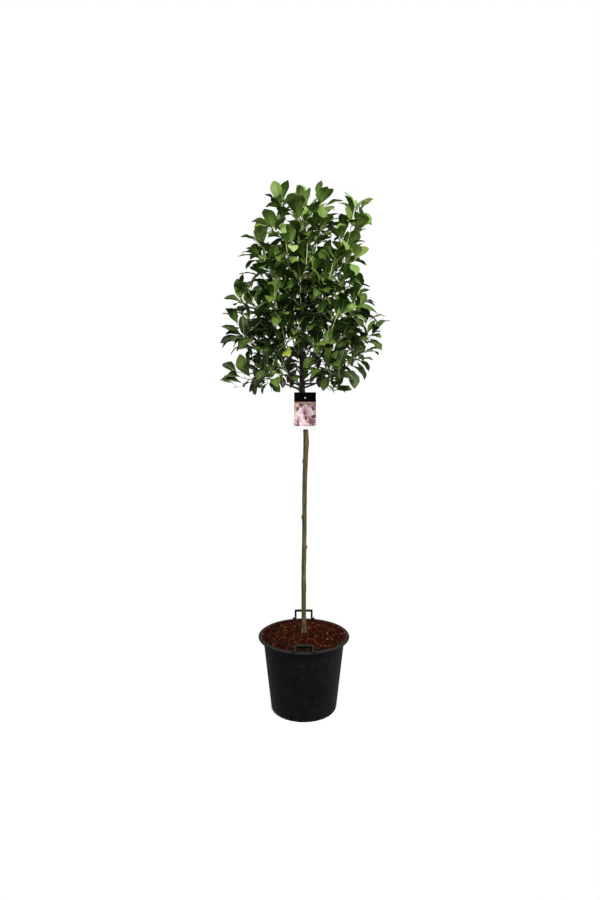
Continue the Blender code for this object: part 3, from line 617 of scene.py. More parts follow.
def catmull_rom(rows, height):
    """Each column of rows at a height, on a smooth curve through them. The first column is the height."""
    last = len(rows) - 2
    at = next((i for i in range(last) if height < rows[i + 1][0]), last)
    before, start, end, after = rows[max(at - 1, 0)], rows[at], rows[at + 1], rows[min(at + 2, last + 1)]
    span = end[0] - start[0]
    t = min(max((height - start[0]) / span, 0), 1)
    values = []
    for column in range(1, len(start)):
        slope_in = (end[column] - before[column]) / (end[0] - before[0]) * span
        slope_out = (after[column] - start[column]) / (after[0] - start[0]) * span
        values.append(
            (2 * t**3 - 3 * t**2 + 1) * start[column]
            + (t**3 - 2 * t**2 + t) * slope_in
            + (3 * t**2 - 2 * t**3) * end[column]
            + (t**3 - t**2) * slope_out
        )
    return values


def trunk_at(height):
    """The trunk's middle and radius at a height."""
    x, y, radius = catmull_rom(TRUNK, height)
    return Vector((x, y, height)), radius


def bark_relief(turn, height, radius):
    """How far the bark stands out from the smooth trunk."""
    round_place = Vector((math.cos(turn), math.sin(turn), 0)) * radius
    folds = noise.noise(Vector((*(round_place[:2]), height * 0.16)) * per_mm(7)) * 0.00045
    rough = noise.noise(Vector((*(round_place[:2]), height * 0.5)) * per_mm(3.2)) * 0.00022
    swelling = noise.noise(Vector((0, 3, height)) * per_mm(60)) * 0.0006
    out = (folds + rough + swelling) * min(radius / 0.009, 1)
    for stub_height, side, stub_out, tall, wide in STUBS:
        up = (height - stub_height) / tall
        if abs(up) > 4:
            continue
        across = math.remainder(turn - math.radians(side), 2 * math.pi) / wide
        distance = math.hypot(up, across)
        # A cut face on top of the stub, a rolled collar round it, and a dip where they meet.
        out += stub_out * min(math.exp(-(distance**2)) * 1.35, 1)
        out += 0.0006 * math.exp(-((distance - 1.7) ** 2) * 3)
    graft = (height - GRAFT_HEIGHT) / 0.012
    out += 0.0006 * math.exp(-(graft**2)) * math.sin(turn * 2 + height * 90)
    # The root flare is fluted where roots leave it.
    flare = max(0, 1 - (height - TRUNK[0][0]) / 0.05)
    return out + flare**2 * 0.0016 * math.sin(turn * 5 + 0.6)


# Thin smooth young bark: olive grey in patches and faintly ribbed, dotted with pale lenticels, and darker
# above the graft. A dry, matt skin, with painted shade in the grooves between its ribs.
stem_bark, tree, shader, place = worked_finish(
    "smooth_young_magnolia_bark", "453C24", Roughness=0.82, Specular_IOR_Level=0.15
)
stretched = add_node(tree, "Mapping", {"Vector": place, "Scale": (1, 1, 0.16)})
patches = add_node(tree, "TexNoise", {"Vector": stretched, "Scale": per_mm(11), "Detail": 5})
olive = add_node(tree, "ValToRGB", {"Fac": patches}, ((0.32, "352E1A"), (0.5, "4D4529"), (0.68, "655C3F")))
dark = add_node(tree, "ValToRGB", {"Fac": patches}, ((0.32, "1D1812"), (0.5, "2E2820"), (0.68, "443C30")))
heights = add_node(tree, "SeparateXYZ", {"Vector": place}).outputs["Z"]
above = add_node(tree, "MapRange", {"Value": heights, "From Min": 1.36, "From Max": 1.40})
skin = add_node(tree, "Mix", {"Factor": above, "A": olive, "B": dark}, data_type="RGBA")
ribs = {"Vector": stretched, "Scale": per_mm(1.6), "Detail": 4, "Roughness": 0.6}
ribs = add_node(tree, "TexNoise", ribs)
# Painted shade: the colour darkens where the ribs' relief is low, in the grooves between them.
groove_shade = add_node(tree, "ValToRGB", {"Fac": ribs}, ((0.35, "B8B0A0"), (0.6, "FFFFFF")))
groove_shaded = add_node(
    tree, "Mix", {"Factor": 0.7, "A": skin, "B": groove_shade}, data_type="RGBA", blend_type="MULTIPLY"
)
flat = add_node(tree, "Mapping", {"Vector": place, "Scale": (0.55, 0.55, 1.4)})
dots = add_node(tree, "TexVoronoi", {"Vector": flat, "Scale": per_mm(5.5), "Randomness": 1.0})
lenticels = add_node(tree, "MapRange", {"Value": dots, "From Min": 0.10, "From Max": 0.17})
connect(lenticels, {"To Min": 1, "To Max": 0})
dotted = {"Factor": lenticels, "A": groove_shaded, "B": linear("6A6144")}
dotted = add_node(tree, "Mix", dotted, data_type="RGBA")
raised = add_node(tree, "Math", {0: lenticels, 1: 0.6, 2: ribs}, operation="MULTIPLY_ADD")
relief = add_node(tree, "Bump", {"Height": raised, "Strength": 0.6, "Distance": 0.0005})
connect(shader, {"Base Color": dotted, "Normal": relief})

low, high = TRUNK[0][0], TRUNK[-1][0]
points = []
for ring in range(TRUNK_RINGS + 1):
    height = low + (high - low) * ring / TRUNK_RINGS
    middle, radius = trunk_at(height)
    for k in range(TRUNK_SIDES):
        turn = 2 * math.pi * k / TRUNK_SIDES
        out = radius + bark_relief(turn, height, radius)
        points.append((middle.x + math.cos(turn) * out, middle.y + math.sin(turn) * out, height))
trunk = add_mesh("trunk_bark", points, ring_faces(TRUNK_RINGS + 1, TRUNK_SIDES), [stem_bark], 60)
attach(trunk, "root")
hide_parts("trunk")

# The picture tag's band. A strip of black polyethylene is wrapped round the stem just under the crown and
# held by a white nylon peg, pushed through it from the front, that the tag hangs on.
PEG_HEIGHT = 1.372
PEG_RADIUS = 0.0022
PEG_HEAD_RADIUS = 0.004
PEG_HEAD_THICKNESS = 0.0012
STRAP_THICKNESS = 0.0012
STRAP_BREADTH = 0.012
TAG_WIDTH = 0.0915
TAG_LOW, TAG_HIGH = 1.239, 1.395
TAG_MIDDLE = 0.00425
TAG_THICKNESS = 0.0008
TAG_CORNER = 0.003
STRAP_FRONT = trunk_at(PEG_HEIGHT)[0].y - trunk_at(PEG_HEIGHT)[1] - 0.001 - STRAP_THICKNESS
TAG_BACK = STRAP_FRONT - GAP

# Extruded polyethylene strip, smooth and slightly waxy, so that it has a soft highlight. The die's lines
# along it are drawn 0.8 mm apart so that they show.
band_plastic = mottled_finish(
    "waxy_black_polyethylene", "050506", 0.8, ((0.3, "040405"), (0.7, "09090B")),
    relief=(0.3, 0.0002), stretch=(0.1, 0.1, 1), Roughness=0.42, IOR=1.51, Specular_IOR_Level=0.12
)

# Moulded nylon, milky white and smooth, with a small bright highlight.
peg_nylon = mottled_finish(
    "milky_white_nylon", "C9C8C2", 2, ((0.3, "B9B8B2"), (0.7, "D6D5CF")), Roughness=0.35, IOR=1.53
)


def strap_outline(inset):
    """The band from above: round behind the stem and straight in front of it."""
    middle, radius = trunk_at(PEG_HEIGHT)
    inner = radius + 0.001 + inset
    front = STRAP_FRONT + STRAP_THICKNESS - inset
    turns = [math.pi * i / 36 for i in range(37)]
    outline = [middle + Vector((math.cos(t) * inner, math.sin(t) * inner, 0)) for t in turns]
    side = (front - middle.y) / 4
    outline += [middle + Vector((-inner, side * i, 0)) for i in range(1, 4)]
    outline += [Vector((middle.x + inner * x, front, middle.z)) for x in (-0.985, -0.5, 0, 0.5, 0.985)]
    return outline + [middle + Vector((inner, side * i, 0)) for i in (3, 2, 1)]


crown_of_edge = ((0.12, 0.49), (0.5, 0.5), (0.88, 0.49))
section = [(0, -0.44), (0, 0.44), *crown_of_edge, (1, 0.44), (1, -0.44)]
section += [(inset, -up) for inset, up in reversed(crown_of_edge)]
loops = []
for inset, up in section:
    loops.append([point + UP * up * STRAP_BREADTH for point in strap_outline(STRAP_THICKNESS * inset)])
count = len(loops[0])
faces = []
for j in range(len(loops)):
    for k in range(count):
        n, m = (k + 1) % count, (j + 1) % len(loops)
        faces.append((j * count + k, m * count + k, m * count + n, j * count + n))
band = add_mesh("tag_band", [p for loop in loops for p in loop], faces, [band_plastic], 40)
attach(band, "root")
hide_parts("tag_strap")

head_back = -(TAG_BACK - TAG_THICKNESS - GAP)
peg_profile = [
    (0, -STRAP_FRONT - STRAP_THICKNESS / 2),
    (PEG_RADIUS, -STRAP_FRONT - STRAP_THICKNESS / 2),
    (PEG_RADIUS, head_back),
    (PEG_HEAD_RADIUS - 0.0003, head_back),
    (PEG_HEAD_RADIUS, head_back + 0.0003),
    (PEG_HEAD_RADIUS - 0.0004, head_back + PEG_HEAD_THICKNESS * 0.62),
    (PEG_HEAD_RADIUS * 0.6, head_back + PEG_HEAD_THICKNESS * 0.92),
    (0, head_back + PEG_HEAD_THICKNESS),
]
peg_points, peg_faces = turned(list(reversed(peg_profile)), 28)
peg_points = [(TAG_MIDDLE + x, -z, PEG_HEIGHT + y) for x, y, z in peg_points]
peg = add_mesh("tag_peg", peg_points, peg_faces, [peg_nylon], 35)
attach(peg, "root")
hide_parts("tag_strap")

# The picture tag. It is a card of white polypropylene sheet, die-cut with round corners and a hole, and
# printed on its front with a black head band and magnolia blossom. The foot of it is left white.
INK = 0.00003  # how far each layer of print stands off the last, so that none hides in another
BAND_FOOT = 1.3545
PICTURE_FOOT = 1.2532
card_front = TAG_BACK - TAG_THICKNESS


def rounded_outline(low, high, corner, steps=7):
    """The outline of a round-cornered rectangle, as pairs of x and z."""
    outline = []
    left, right, foot, top = low[0] + corner, high[0] - corner, low[1] + corner, high[1] - corner
    for number, middle in enumerate(((right, top), (left, top), (left, foot), (right, foot))):
        outline += arc(middle, corner, 90 * number, 90 * number + 90, steps)
    return outline


def plate(name, outline, back, thick, finish):
    """A flat piece of an outline seen from the front, from its back's place forwards."""
    made = slab([(x, back, z) for x, z in outline], (0, -thick, 0))
    made.name = made.data.name = name
    made.data.materials.append(finish)
    return made


def peg_hole():
    """The bar that cuts the hole for the peg."""
    behind, before = (Vector((TAG_MIDDLE, TAG_BACK + shift, PEG_HEIGHT)) for shift in (0.002, -0.003))
    return bar(behind, before, PEG_RADIUS + GAP, 28)


# White polypropylene sheet with a satin calendered face, whose slight orange peel softens its highlight.
# It is drawn at 1.5 mm so that it shows.
card_sheet = mottled_finish(
    "satin_white_polypropylene_sheet", "E9E8E6", 1.5, ((0.3, "E4E3E0"), (0.7, "EFEEEC")),
    relief=(0.2, 0.0001), Roughness=0.38, IOR=1.49
)

# Black offset ink under a clear satin varnish: deep black, with hardly any shine.
black_ink = mottled_finish(
    "varnished_black_ink", "030304", 6, ((0.3, "020203"), (0.7, "050506")),
    {"Detail": 3}, Roughness=0.45, Specular_IOR_Level=0.04
)

# A printed out-of-focus garden behind the blossom: soft tan, mauve brown and dark twig brown.
garden_ink = mottled_finish(
    "varnished_garden_print", "6E5650", 15,
    ((0.36, "3A282A"), (0.46, "96706F"), (0.54, "BFA18D"), (0.66, "DFC9B4"), (0.41, "664347")),
    {"Detail": 2.5, "Distortion": 0.6}, Roughness=0.4
)

tag_low = (TAG_MIDDLE - TAG_WIDTH / 2, TAG_LOW)
tag_high = (TAG_MIDDLE + TAG_WIDTH / 2, TAG_HIGH)
card_outline = rounded_outline(tag_low, tag_high, TAG_CORNER)
card = plate("tag_card", card_outline, TAG_BACK, TAG_THICKNESS - INK * 12, card_sheet)
combine(card, "DIFFERENCE", [peg_hole()])
head = [(x, z) for x, z in card_outline if z > BAND_FOOT]
head += [(tag_low[0], BAND_FOOT), (tag_high[0], BAND_FOOT)]
head_band = plate("tag_head_band", head, card_front + INK * 12, INK * 2, black_ink)
combine(head_band, "DIFFERENCE", [peg_hole()])
corners = [(tag_high[0], BAND_FOOT), (tag_low[0], BAND_FOOT), (tag_low[0], PICTURE_FOOT)]
corners.append((tag_high[0], PICTURE_FOOT))
picture = plate("tag_garden_print", corners, card_front + INK * 12, INK * 2, garden_ink)
for print_piece in (card, head_band, picture):
    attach(print_piece, "root")
    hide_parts("tag")

# Printed blossom seen close: broad cupped petals, mauve at the foot and pale pink at the rim. Each petal
# is laid down in bands of ink from one shade to the next.
PETAL_INKS = ("7A4A5A", "AE7C8A", "CDA7B0", "E0C3CA", "EDD9DD", "F5E8EB", "FBF5F6")
petal_inks = shade_range("varnished_petal_ink", PETAL_INKS, Roughness=0.4)
PETAL_ROWS = 18
PETAL_COLUMNS = 8
PRINT_MARGIN = 0.0002
BLOSSOMS = (  # foot from the picture's lower left corner and size in mm, shade, and its petals' leans
    ((72, 8), 30, -1.8, (-72, 40, -22)),
    ((79, 58), 34, -0.9, (-64, 30, -18)),
    ((46, 46), 44, 0.2, (72, -74, 44, -40, 6)),
    ((14, 14), 40, 0.8, (68, -50, 30, -8)),
    ((44, -4), 26, 0.6, (-52, 50, 4)),
)
points, faces, slots = [], [], []
print_rng = random.Random(5)
layer = 0
for (foot_x, foot_z), size, tone, leans in BLOSSOMS:
    for lean in leans:
        layer += 1
        turn = math.radians(90 - lean)
        along_way, across_way = (math.cos(turn), math.sin(turn)), (math.sin(turn), -math.cos(turn))
        long = size / 1000 * print_rng.uniform(0.82, 1.08)
        wide = long * print_rng.uniform(0.50, 0.64)
        bow = long * print_rng.uniform(0.05, 0.16) * (1 if lean > 0 else -1)
        own_tone = tone + print_rng.uniform(-0.7, 0.7)
        depth = card_front + INK * 10 - INK * 0.5 * layer
        first = len(points)
        for row in range(PETAL_ROWS + 1):
            t = row / PETAL_ROWS
            half = wide / 2 * (0.14 + 0.86 * math.sin(math.pi * (t**1.1 * 0.86 + 0.04)) ** 0.8)
            half *= 1 - 0.72 * max(0, (t - 0.82) / 0.18) ** 2
            for column in range(PETAL_COLUMNS + 1):
                across = (column / PETAL_COLUMNS * 2 - 1) * half - bow * math.sin(math.pi * t)
                x = tag_low[0] + foot_x / 1000 + along_way[0] * long * t + across_way[0] * across
                z = PICTURE_FOOT + foot_z / 1000 + along_way[1] * long * t + across_way[1] * across
                x = min(max(x, tag_low[0] + PRINT_MARGIN), tag_high[0] - PRINT_MARGIN)
                z = min(max(z, PICTURE_FOOT + PRINT_MARGIN), BAND_FOOT - PRINT_MARGIN)
                points.append((x, depth, z))
        step = PETAL_COLUMNS + 1
        for row in range(PETAL_ROWS):
            for column in range(PETAL_COLUMNS):
                a = first + row * step + column
                faces.append((a, a + step, a + step + 1, a + 1))
                edge = abs(column + 0.5 - PETAL_COLUMNS / 2) / (PETAL_COLUMNS / 2)
                vein = 0.5 if column % 3 == 1 else 0
                shade = row / PETAL_ROWS * 4.2 + edge**2 * 2.2 - vein + own_tone
                slots.append(int(min(max(shade, 0), len(PETAL_INKS) - 1)))
        rim = [first + column for column in range(step)]
        rim += [first + row * step + PETAL_COLUMNS for row in range(1, PETAL_ROWS + 1)]
        rim += [first + PETAL_ROWS * step + column for column in reversed(range(PETAL_COLUMNS))]
        rim += [first + row * step for row in reversed(range(1, PETAL_ROWS))]
        back = [len(points) + k for k in range(len(rim))]
        points += [(points[k][0], depth + INK * 0.4, points[k][2]) for k in rim]
        for k in range(len(rim)):
            n = (k + 1) % len(rim)
            faces.append((rim[k], rim[n], back[n], back[k]))
        faces.append(tuple(back))
        slots += [0] * (len(rim) + 1)
blossom = add_mesh("tag_blossom_print", points, faces, petal_inks, None, slots)
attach(blossom, "root")
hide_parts("tag")

# The main boughs of the crown, each one tapering limb. They left the graft as side shoots of one season and
# are still round and smooth, with a swollen collar at the trunk and a ring at each leaf scar.
Bough = namedtuple("Bough", "name side start slope reach tip lean shoot_side shoot_reach top")
BOUGHS = (  # side, height and slope at the trunk, reach, height and slope of its tip, its shoot's end
    Bough("lower_left", 194, 1.405, 15, 0.120, 1.445, 20, 196, 0.280, 1.465),
    Bough("low_front_right", 308, 1.412, 10, 0.100, 1.440, 20, 303, 0.250, 1.490),
    Bough("low_back_left", 138, 1.420, 12, 0.120, 1.470, 40, 138, 0.270, 1.620),
    Bough("low_front_left", 240, 1.424, 12, 0.100, 1.455, 20, 236, 0.255, 1.500),
    Bough("lower_right", 350, 1.430, 0, 0.155, 1.470, 45, 350, 0.262, 1.690),
    Bough("low_back_right", 48, 1.436, 12, 0.120, 1.480, 40, 46, 0.270, 1.620),
    Bough("front_right", 305, 1.446, 20, 0.095, 1.520, 50, 310, 0.205, 1.720),
    Bough("left", 182, 1.455, 20, 0.115, 1.510, 35, 187, 0.285, 1.690),
    Bough("low_back", 92, 1.462, 15, 0.120, 1.510, 40, 90, 0.265, 1.640),
    Bough("front_left", 234, 1.470, 25, 0.090, 1.540, 55, 230, 0.185, 1.780),
    Bough("right", 17, 1.480, 30, 0.115, 1.590, 55, 18, 0.255, 1.840),
    Bough("left_middle", 163, 1.490, 30, 0.115, 1.590, 50, 170, 0.235, 1.820),
    Bough("back", 94, 1.500, 35, 0.090, 1.630, 60, 92, 0.195, 1.870),
    Bough("upper_right", 354, 1.512, 35, 0.105, 1.730, 75, 354, 0.205, 2.135),
    Bough("back_right", 49, 1.524, 40, 0.090, 1.650, 65, 50, 0.190, 1.930),
    Bough("back_left", 133, 1.537, 40, 0.090, 1.660, 65, 135, 0.195, 1.930),
    Bough("front", 261, 1.550, 30, 0.060, 1.630, 70, 262, 0.115, 1.850),
    Bough("front_right_upper", 315, 1.600, 38, 0.070, 1.700, 65, 318, 0.150, 1.900),
    Bough("left_upper", 170, 1.620, 40, 0.075, 1.730, 65, 172, 0.175, 2.010),
    Bough("upper_left", 205, 1.670, 45, 0.048, 1.810, 80, 198, 0.100, 2.145),
    Bough("front_upper", 275, 1.700, 45, 0.038, 1.800, 80, 280, 0.070, 1.990),
    Bough("upper_middle", 29, 1.735, 55, 0.040, 1.880, 82, 29, 0.066, 2.185),
    Bough("upper_back", 95, 1.770, 50, 0.045, 1.890, 80, 90, 0.090, 2.100),
)
BOUGH_SIDES = 6
BOUGH_RINGS = 7
BOUGH_SHARE = 0.42  # a bough's radius at its start, as a share of the trunk's there
BOUGH_TIP_RADIUS = 0.0022
BARK_SIDES = 14
BARK_RINGS = 56
SCAR_SPACING = 0.026


def taper(start, end, count):
    """A count of radii from start to end."""
    return [start + (end - start) * i / (count - 1) for i in range(count)]


def outward(side, slope=0.0):
    """The way that points to a side, climbing at slope degrees."""
    turn, climb = math.radians(side), math.radians(slope)
    return Vector((math.cos(turn) * math.cos(climb), math.sin(turn) * math.cos(climb), math.sin(climb)))


def bend(start, start_way, end, end_way, steps):
    """A smooth path from start to end."""
    third = (end - start).length / 3
    return interpolate_bezier(start, start + start_way * third, end - end_way * third, end, steps)


def bough_path(bough, steps=BOUGH_RINGS):
    """The middle of a bough, from the trunk's own middle to its tip."""
    start, _ = trunk_at(bough.start)
    tip = outward(bough.side) * bough.reach + UP * bough.tip
    return bend(start, outward(bough.side, bough.slope), tip, outward(bough.side, bough.lean), steps)


def bough_shape(bough, grow):
    """The plain limb, as room that nothing else may grow into."""
    radii = taper(trunk_at(bough.start)[1] * BOUGH_SHARE, BOUGH_TIP_RADIUS, BOUGH_RINGS)
    last_way = outward(bough.side, bough.lean)
    return tube(bough_path(bough), [r + grow for r in radii], BOUGH_SIDES, last_way=last_way)


def path_length(path):
    """The length of a path through its points."""
    return sum((b - a).length for a, b in zip(path, path[1:]))


def join_to(points, faces, slots, shape, slot):
    """Adds a shape to a joined mesh's lists."""
    faces += [tuple(len(points) + k for k in face) for face in shape[1]]
    points += shape[0]
    slots += [slot] * len(shape[1])


def limb_bark(path, radii, last_way, sides, seed):
    """A limb with ribbed bark and a ring at each leaf scar."""
    length = path_length(path)
    swollen = []
    for number, radius in enumerate(radii):
        place = length * number / (len(radii) - 1)
        scar = math.exp(-(((place % SCAR_SPACING) - SCAR_SPACING / 2) ** 2) / 0.0000025)
        swollen.append(radius * (1 + 0.16 * scar))
    points, faces = tube(path, swollen, sides, last_way=last_way)
    rough = []
    for number, point in enumerate(points):
        middle = path[number // sides]
        depth = noise.noise(Vector((*point[:2], point.z * 0.5 + seed)) * per_mm(3.5)) * 0.00028
        rough.append(point + (point - middle).normalized() * depth)
    return rough, faces


# The bark of one- and two-year-old wood: dark brown with a grey bloom, finely wrinkled, matt.
bough_bark, tree, shader, place = worked_finish("dark_two_year_magnolia_bark", "3E352C", Roughness=0.78)
bloom = add_node(tree, "TexNoise", {"Vector": place, "Scale": per_mm(8), "Detail": 5})
brown = add_node(tree, "ValToRGB", {"Fac": bloom}, ((0.32, "231C16"), (0.52, "382F26"), (0.72, "544B3E")))
wrinkles = add_node(tree, "TexNoise", {"Vector": place, "Scale": per_mm(1.2), "Detail": 4})
relief = add_node(tree, "Bump", {"Height": wrinkles, "Strength": 0.6, "Distance": 0.0004})
connect(shader, {"Base Color": brown, "Normal": relief})

points, faces, slots = [], [], []
for number, bough in enumerate(BOUGHS):
    path = bough_path(bough, BARK_RINGS)
    start_radius = trunk_at(bough.start)[1] * BOUGH_SHARE
    radii = taper(start_radius, BOUGH_TIP_RADIUS, BARK_RINGS)
    for i in range(BARK_RINGS):
        clear = (path[i] - path[0]).length - trunk_at(bough.start)[1]
        radii[i] *= 1 + 0.45 * math.exp(-((max(clear, 0) / 0.006) ** 2))
    shape = limb_bark(path, radii, outward(bough.side, bough.lean), BARK_SIDES, number)
    join_to(points, faces, slots, shape, 0)
boughs = add_mesh("boughs_bark", points, faces, [bough_bark], 60, slots)
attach(boughs, "root")
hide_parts(*(f"bough_{bough.name}" for bough in BOUGHS))

# The leafy shoots. Each bough, and the trunk's tip, goes on into a stem of this year's wood, with side
# twigs off it at the golden angle, and leaves in a spiral along them that crowd round the buds at their
# ends. They follow the rule and the seeds of the solids that they replace.
LEADER_SHOOT = (150, 0.018, 2.165)  # side, reach and top of the shoot that ends the trunk
SEED = 61
GOLDEN_ANGLE = math.radians(137.5)
TRUNK_ROOM_SIDES = 10
TRUNK_ROOM_RINGS = 32
STEM_END_RADIUS = 0.0013
STEM_SIDES = 5
STEM_RINGS = 6
TWIG_RINGS = 3
TWIG_SPACING = 0.048
TWIG_LENGTH = 0.095
TWIG_RADIUS = 0.0015
TWIG_END_RADIUS = 0.0010
STEM_LEAF_SPACING = 0.040
TWIG_LEAF_SPACING = 0.034
LEAF_LENGTH = (0.110, 0.138)
LEAF_SHAPE = (0.46, 0.54)
LEAF_TRIES = 8
TAG_CLEARANCE = 0.006
CROWN_FRONT = -0.34
CROWN_BOTTOM, CROWN_TOP = 1.380, 2.250
CROWN_OUTLINE = (  # height and greatest reach
    (1.380, 0.260),
    (1.430, 0.350),
    (1.720, 0.352),
    (1.850, 0.310),
    (1.970, 0.275),
    (2.100, 0.315),
    (2.200, 0.270),
    (2.250, 0.100),
)

# A leaf's root, the way it points, the way its upper face looks, and its size
Leaf = namedtuple("Leaf", "root way face length width")


def trunk_way():
    """The way the trunk points at its tip."""
    top = TRUNK[-1][0]
    return (trunk_at(top)[0] - trunk_at(top - 0.01)[0]).normalized()


def trunk_shape(grow):
    """The plain trunk, as room that nothing else may grow into."""
    low, high = TRUNK[0][0], TRUNK[-1][0]
    flare = [low, low + 0.006, low + 0.014, low + 0.026]
    count = TRUNK_ROOM_RINGS
    heights = flare + [low + 0.045 + (high - low - 0.045) * i / (count - 1) for i in range(count)]
    places, radii = zip(*(trunk_at(height) for height in heights))
    points, faces = tube(list(places), [r + grow for r in radii], TRUNK_ROOM_SIDES, last_way=trunk_way())
    for point in points[:TRUNK_ROOM_SIDES]:
        point.z = low
    return points, faces


def leaf_room(leaf, thickness, start=0.0):
    """The plain eight faces that a leaf's room is measured by, without the share start at its root."""
    across = leaf.way.cross(leaf.face)
    arch = leaf.face * leaf.length * 0.08
    lift = leaf.face * leaf.width * 0.10
    widest = leaf.root + leaf.way * leaf.length * 0.58 + arch
    middle = leaf.root + leaf.way * leaf.length * 0.52 + arch
    half = across * leaf.width / 2
    points = [
        leaf.root + leaf.way * leaf.length * start + arch * start,
        widest + half + lift,
        leaf.root + leaf.way * leaf.length,
        widest - half + lift,
        middle + leaf.face * thickness / 2,
        middle - leaf.face * thickness / 2,
    ]
    root, right, tip, left, upper, under = range(6)
    ring = ((root, right), (right, tip), (tip, left), (left, root))
    return points, [(a, b, upper) for a, b in ring] + [(b, a, under) for a, b in ring]


class Space:
    """The room that limbs, twigs and leaves have taken, so that none grows through another."""

    def __init__(self):
        self.taken = []

    @staticmethod
    def ball(points):
        """The middle and radius of a ball round points."""
        middle = sum(points, Vector()) / len(points)
        return middle, max((p - middle).length for p in points)

    def take(self, shape, owner, limb=None):
        """Marks a shape's room as taken by a mass, for the limb that it is on."""
        self.taken.append((*self.ball(shape[0]), BVHTree.FromPolygons(*shape), owner, limb))

    def is_free(self, shape, own_shape, owner, limb=None):
        """True if shape clears every other mass, and own_shape its own mass but for the limb it is on."""
        middle, radius = self.ball(shape[0])
        whole, outer = BVHTree.FromPolygons(*shape), BVHTree.FromPolygons(*own_shape)
        for other_middle, other_radius, tree, other_owner, other_limb in self.taken:
            if (other_middle - middle).length > other_radius + radius:
                continue
            if other_owner == owner and other_limb is not None and other_limb == limb:
                continue
            if tree.overlap(outer if other_owner == owner else whole):
                return False
        return True


def crown_reach(height):
    """How far from the trunk's line the crown reaches at a height."""
    return catmull_rom(CROWN_OUTLINE, height)[0]


def crown_height(place):
    """How high in the crown a place is, from 0 at its foot to 1 at its top."""
    return (place.z - CROWN_BOTTOM) / (CROWN_TOP - CROWN_BOTTOM)


def within_crown(point, share=1.0):
    """True if a point is inside the crown's outline, drawn in to a share of its reach."""
    if not CROWN_BOTTOM <= point.z <= CROWN_TOP - (1 - share) * 0.4:
        return False
    return math.hypot(point.x, point.y) <= crown_reach(point.z) * share


def along(path, share):
    """The place and the way at a share of a path's length, taking its points as evenly spaced."""
    at = min(share, 0.9999) * (len(path) - 1)
    i = int(at)
    return path[i].lerp(path[i + 1], at - i), (path[i + 1] - path[i]).normalized()


def sideways(way, turn):
    """A unit vector square to way, turned round it."""
    first = way.cross(UP if abs(way.z) < 0.95 else Vector((1, 0, 0))).normalized()
    return first * math.cos(turn) + way.cross(first) * math.sin(turn)


def side_curve(root, way, side, size, start_forward, end_forward, end_out):
    """The ends of a twig or spur off a limb, each with the way it points there."""
    start_way = (way * start_forward + side).normalized()
    end_way = (way * end_forward + side * end_out + UP * 0.5).normalized()
    return root, start_way, root + (start_way + end_way).normalized() * size, end_way


def upper_face(rng, way, side, pointing, spread):
    """The way that a leaf's upper face looks: up and along its limb, more or less."""
    face = UP + way * 0.4 - side * 0.3 + Vector([rng.uniform(-spread, spread) for _ in range(3)])
    return (face - pointing * face.dot(pointing)).normalized()


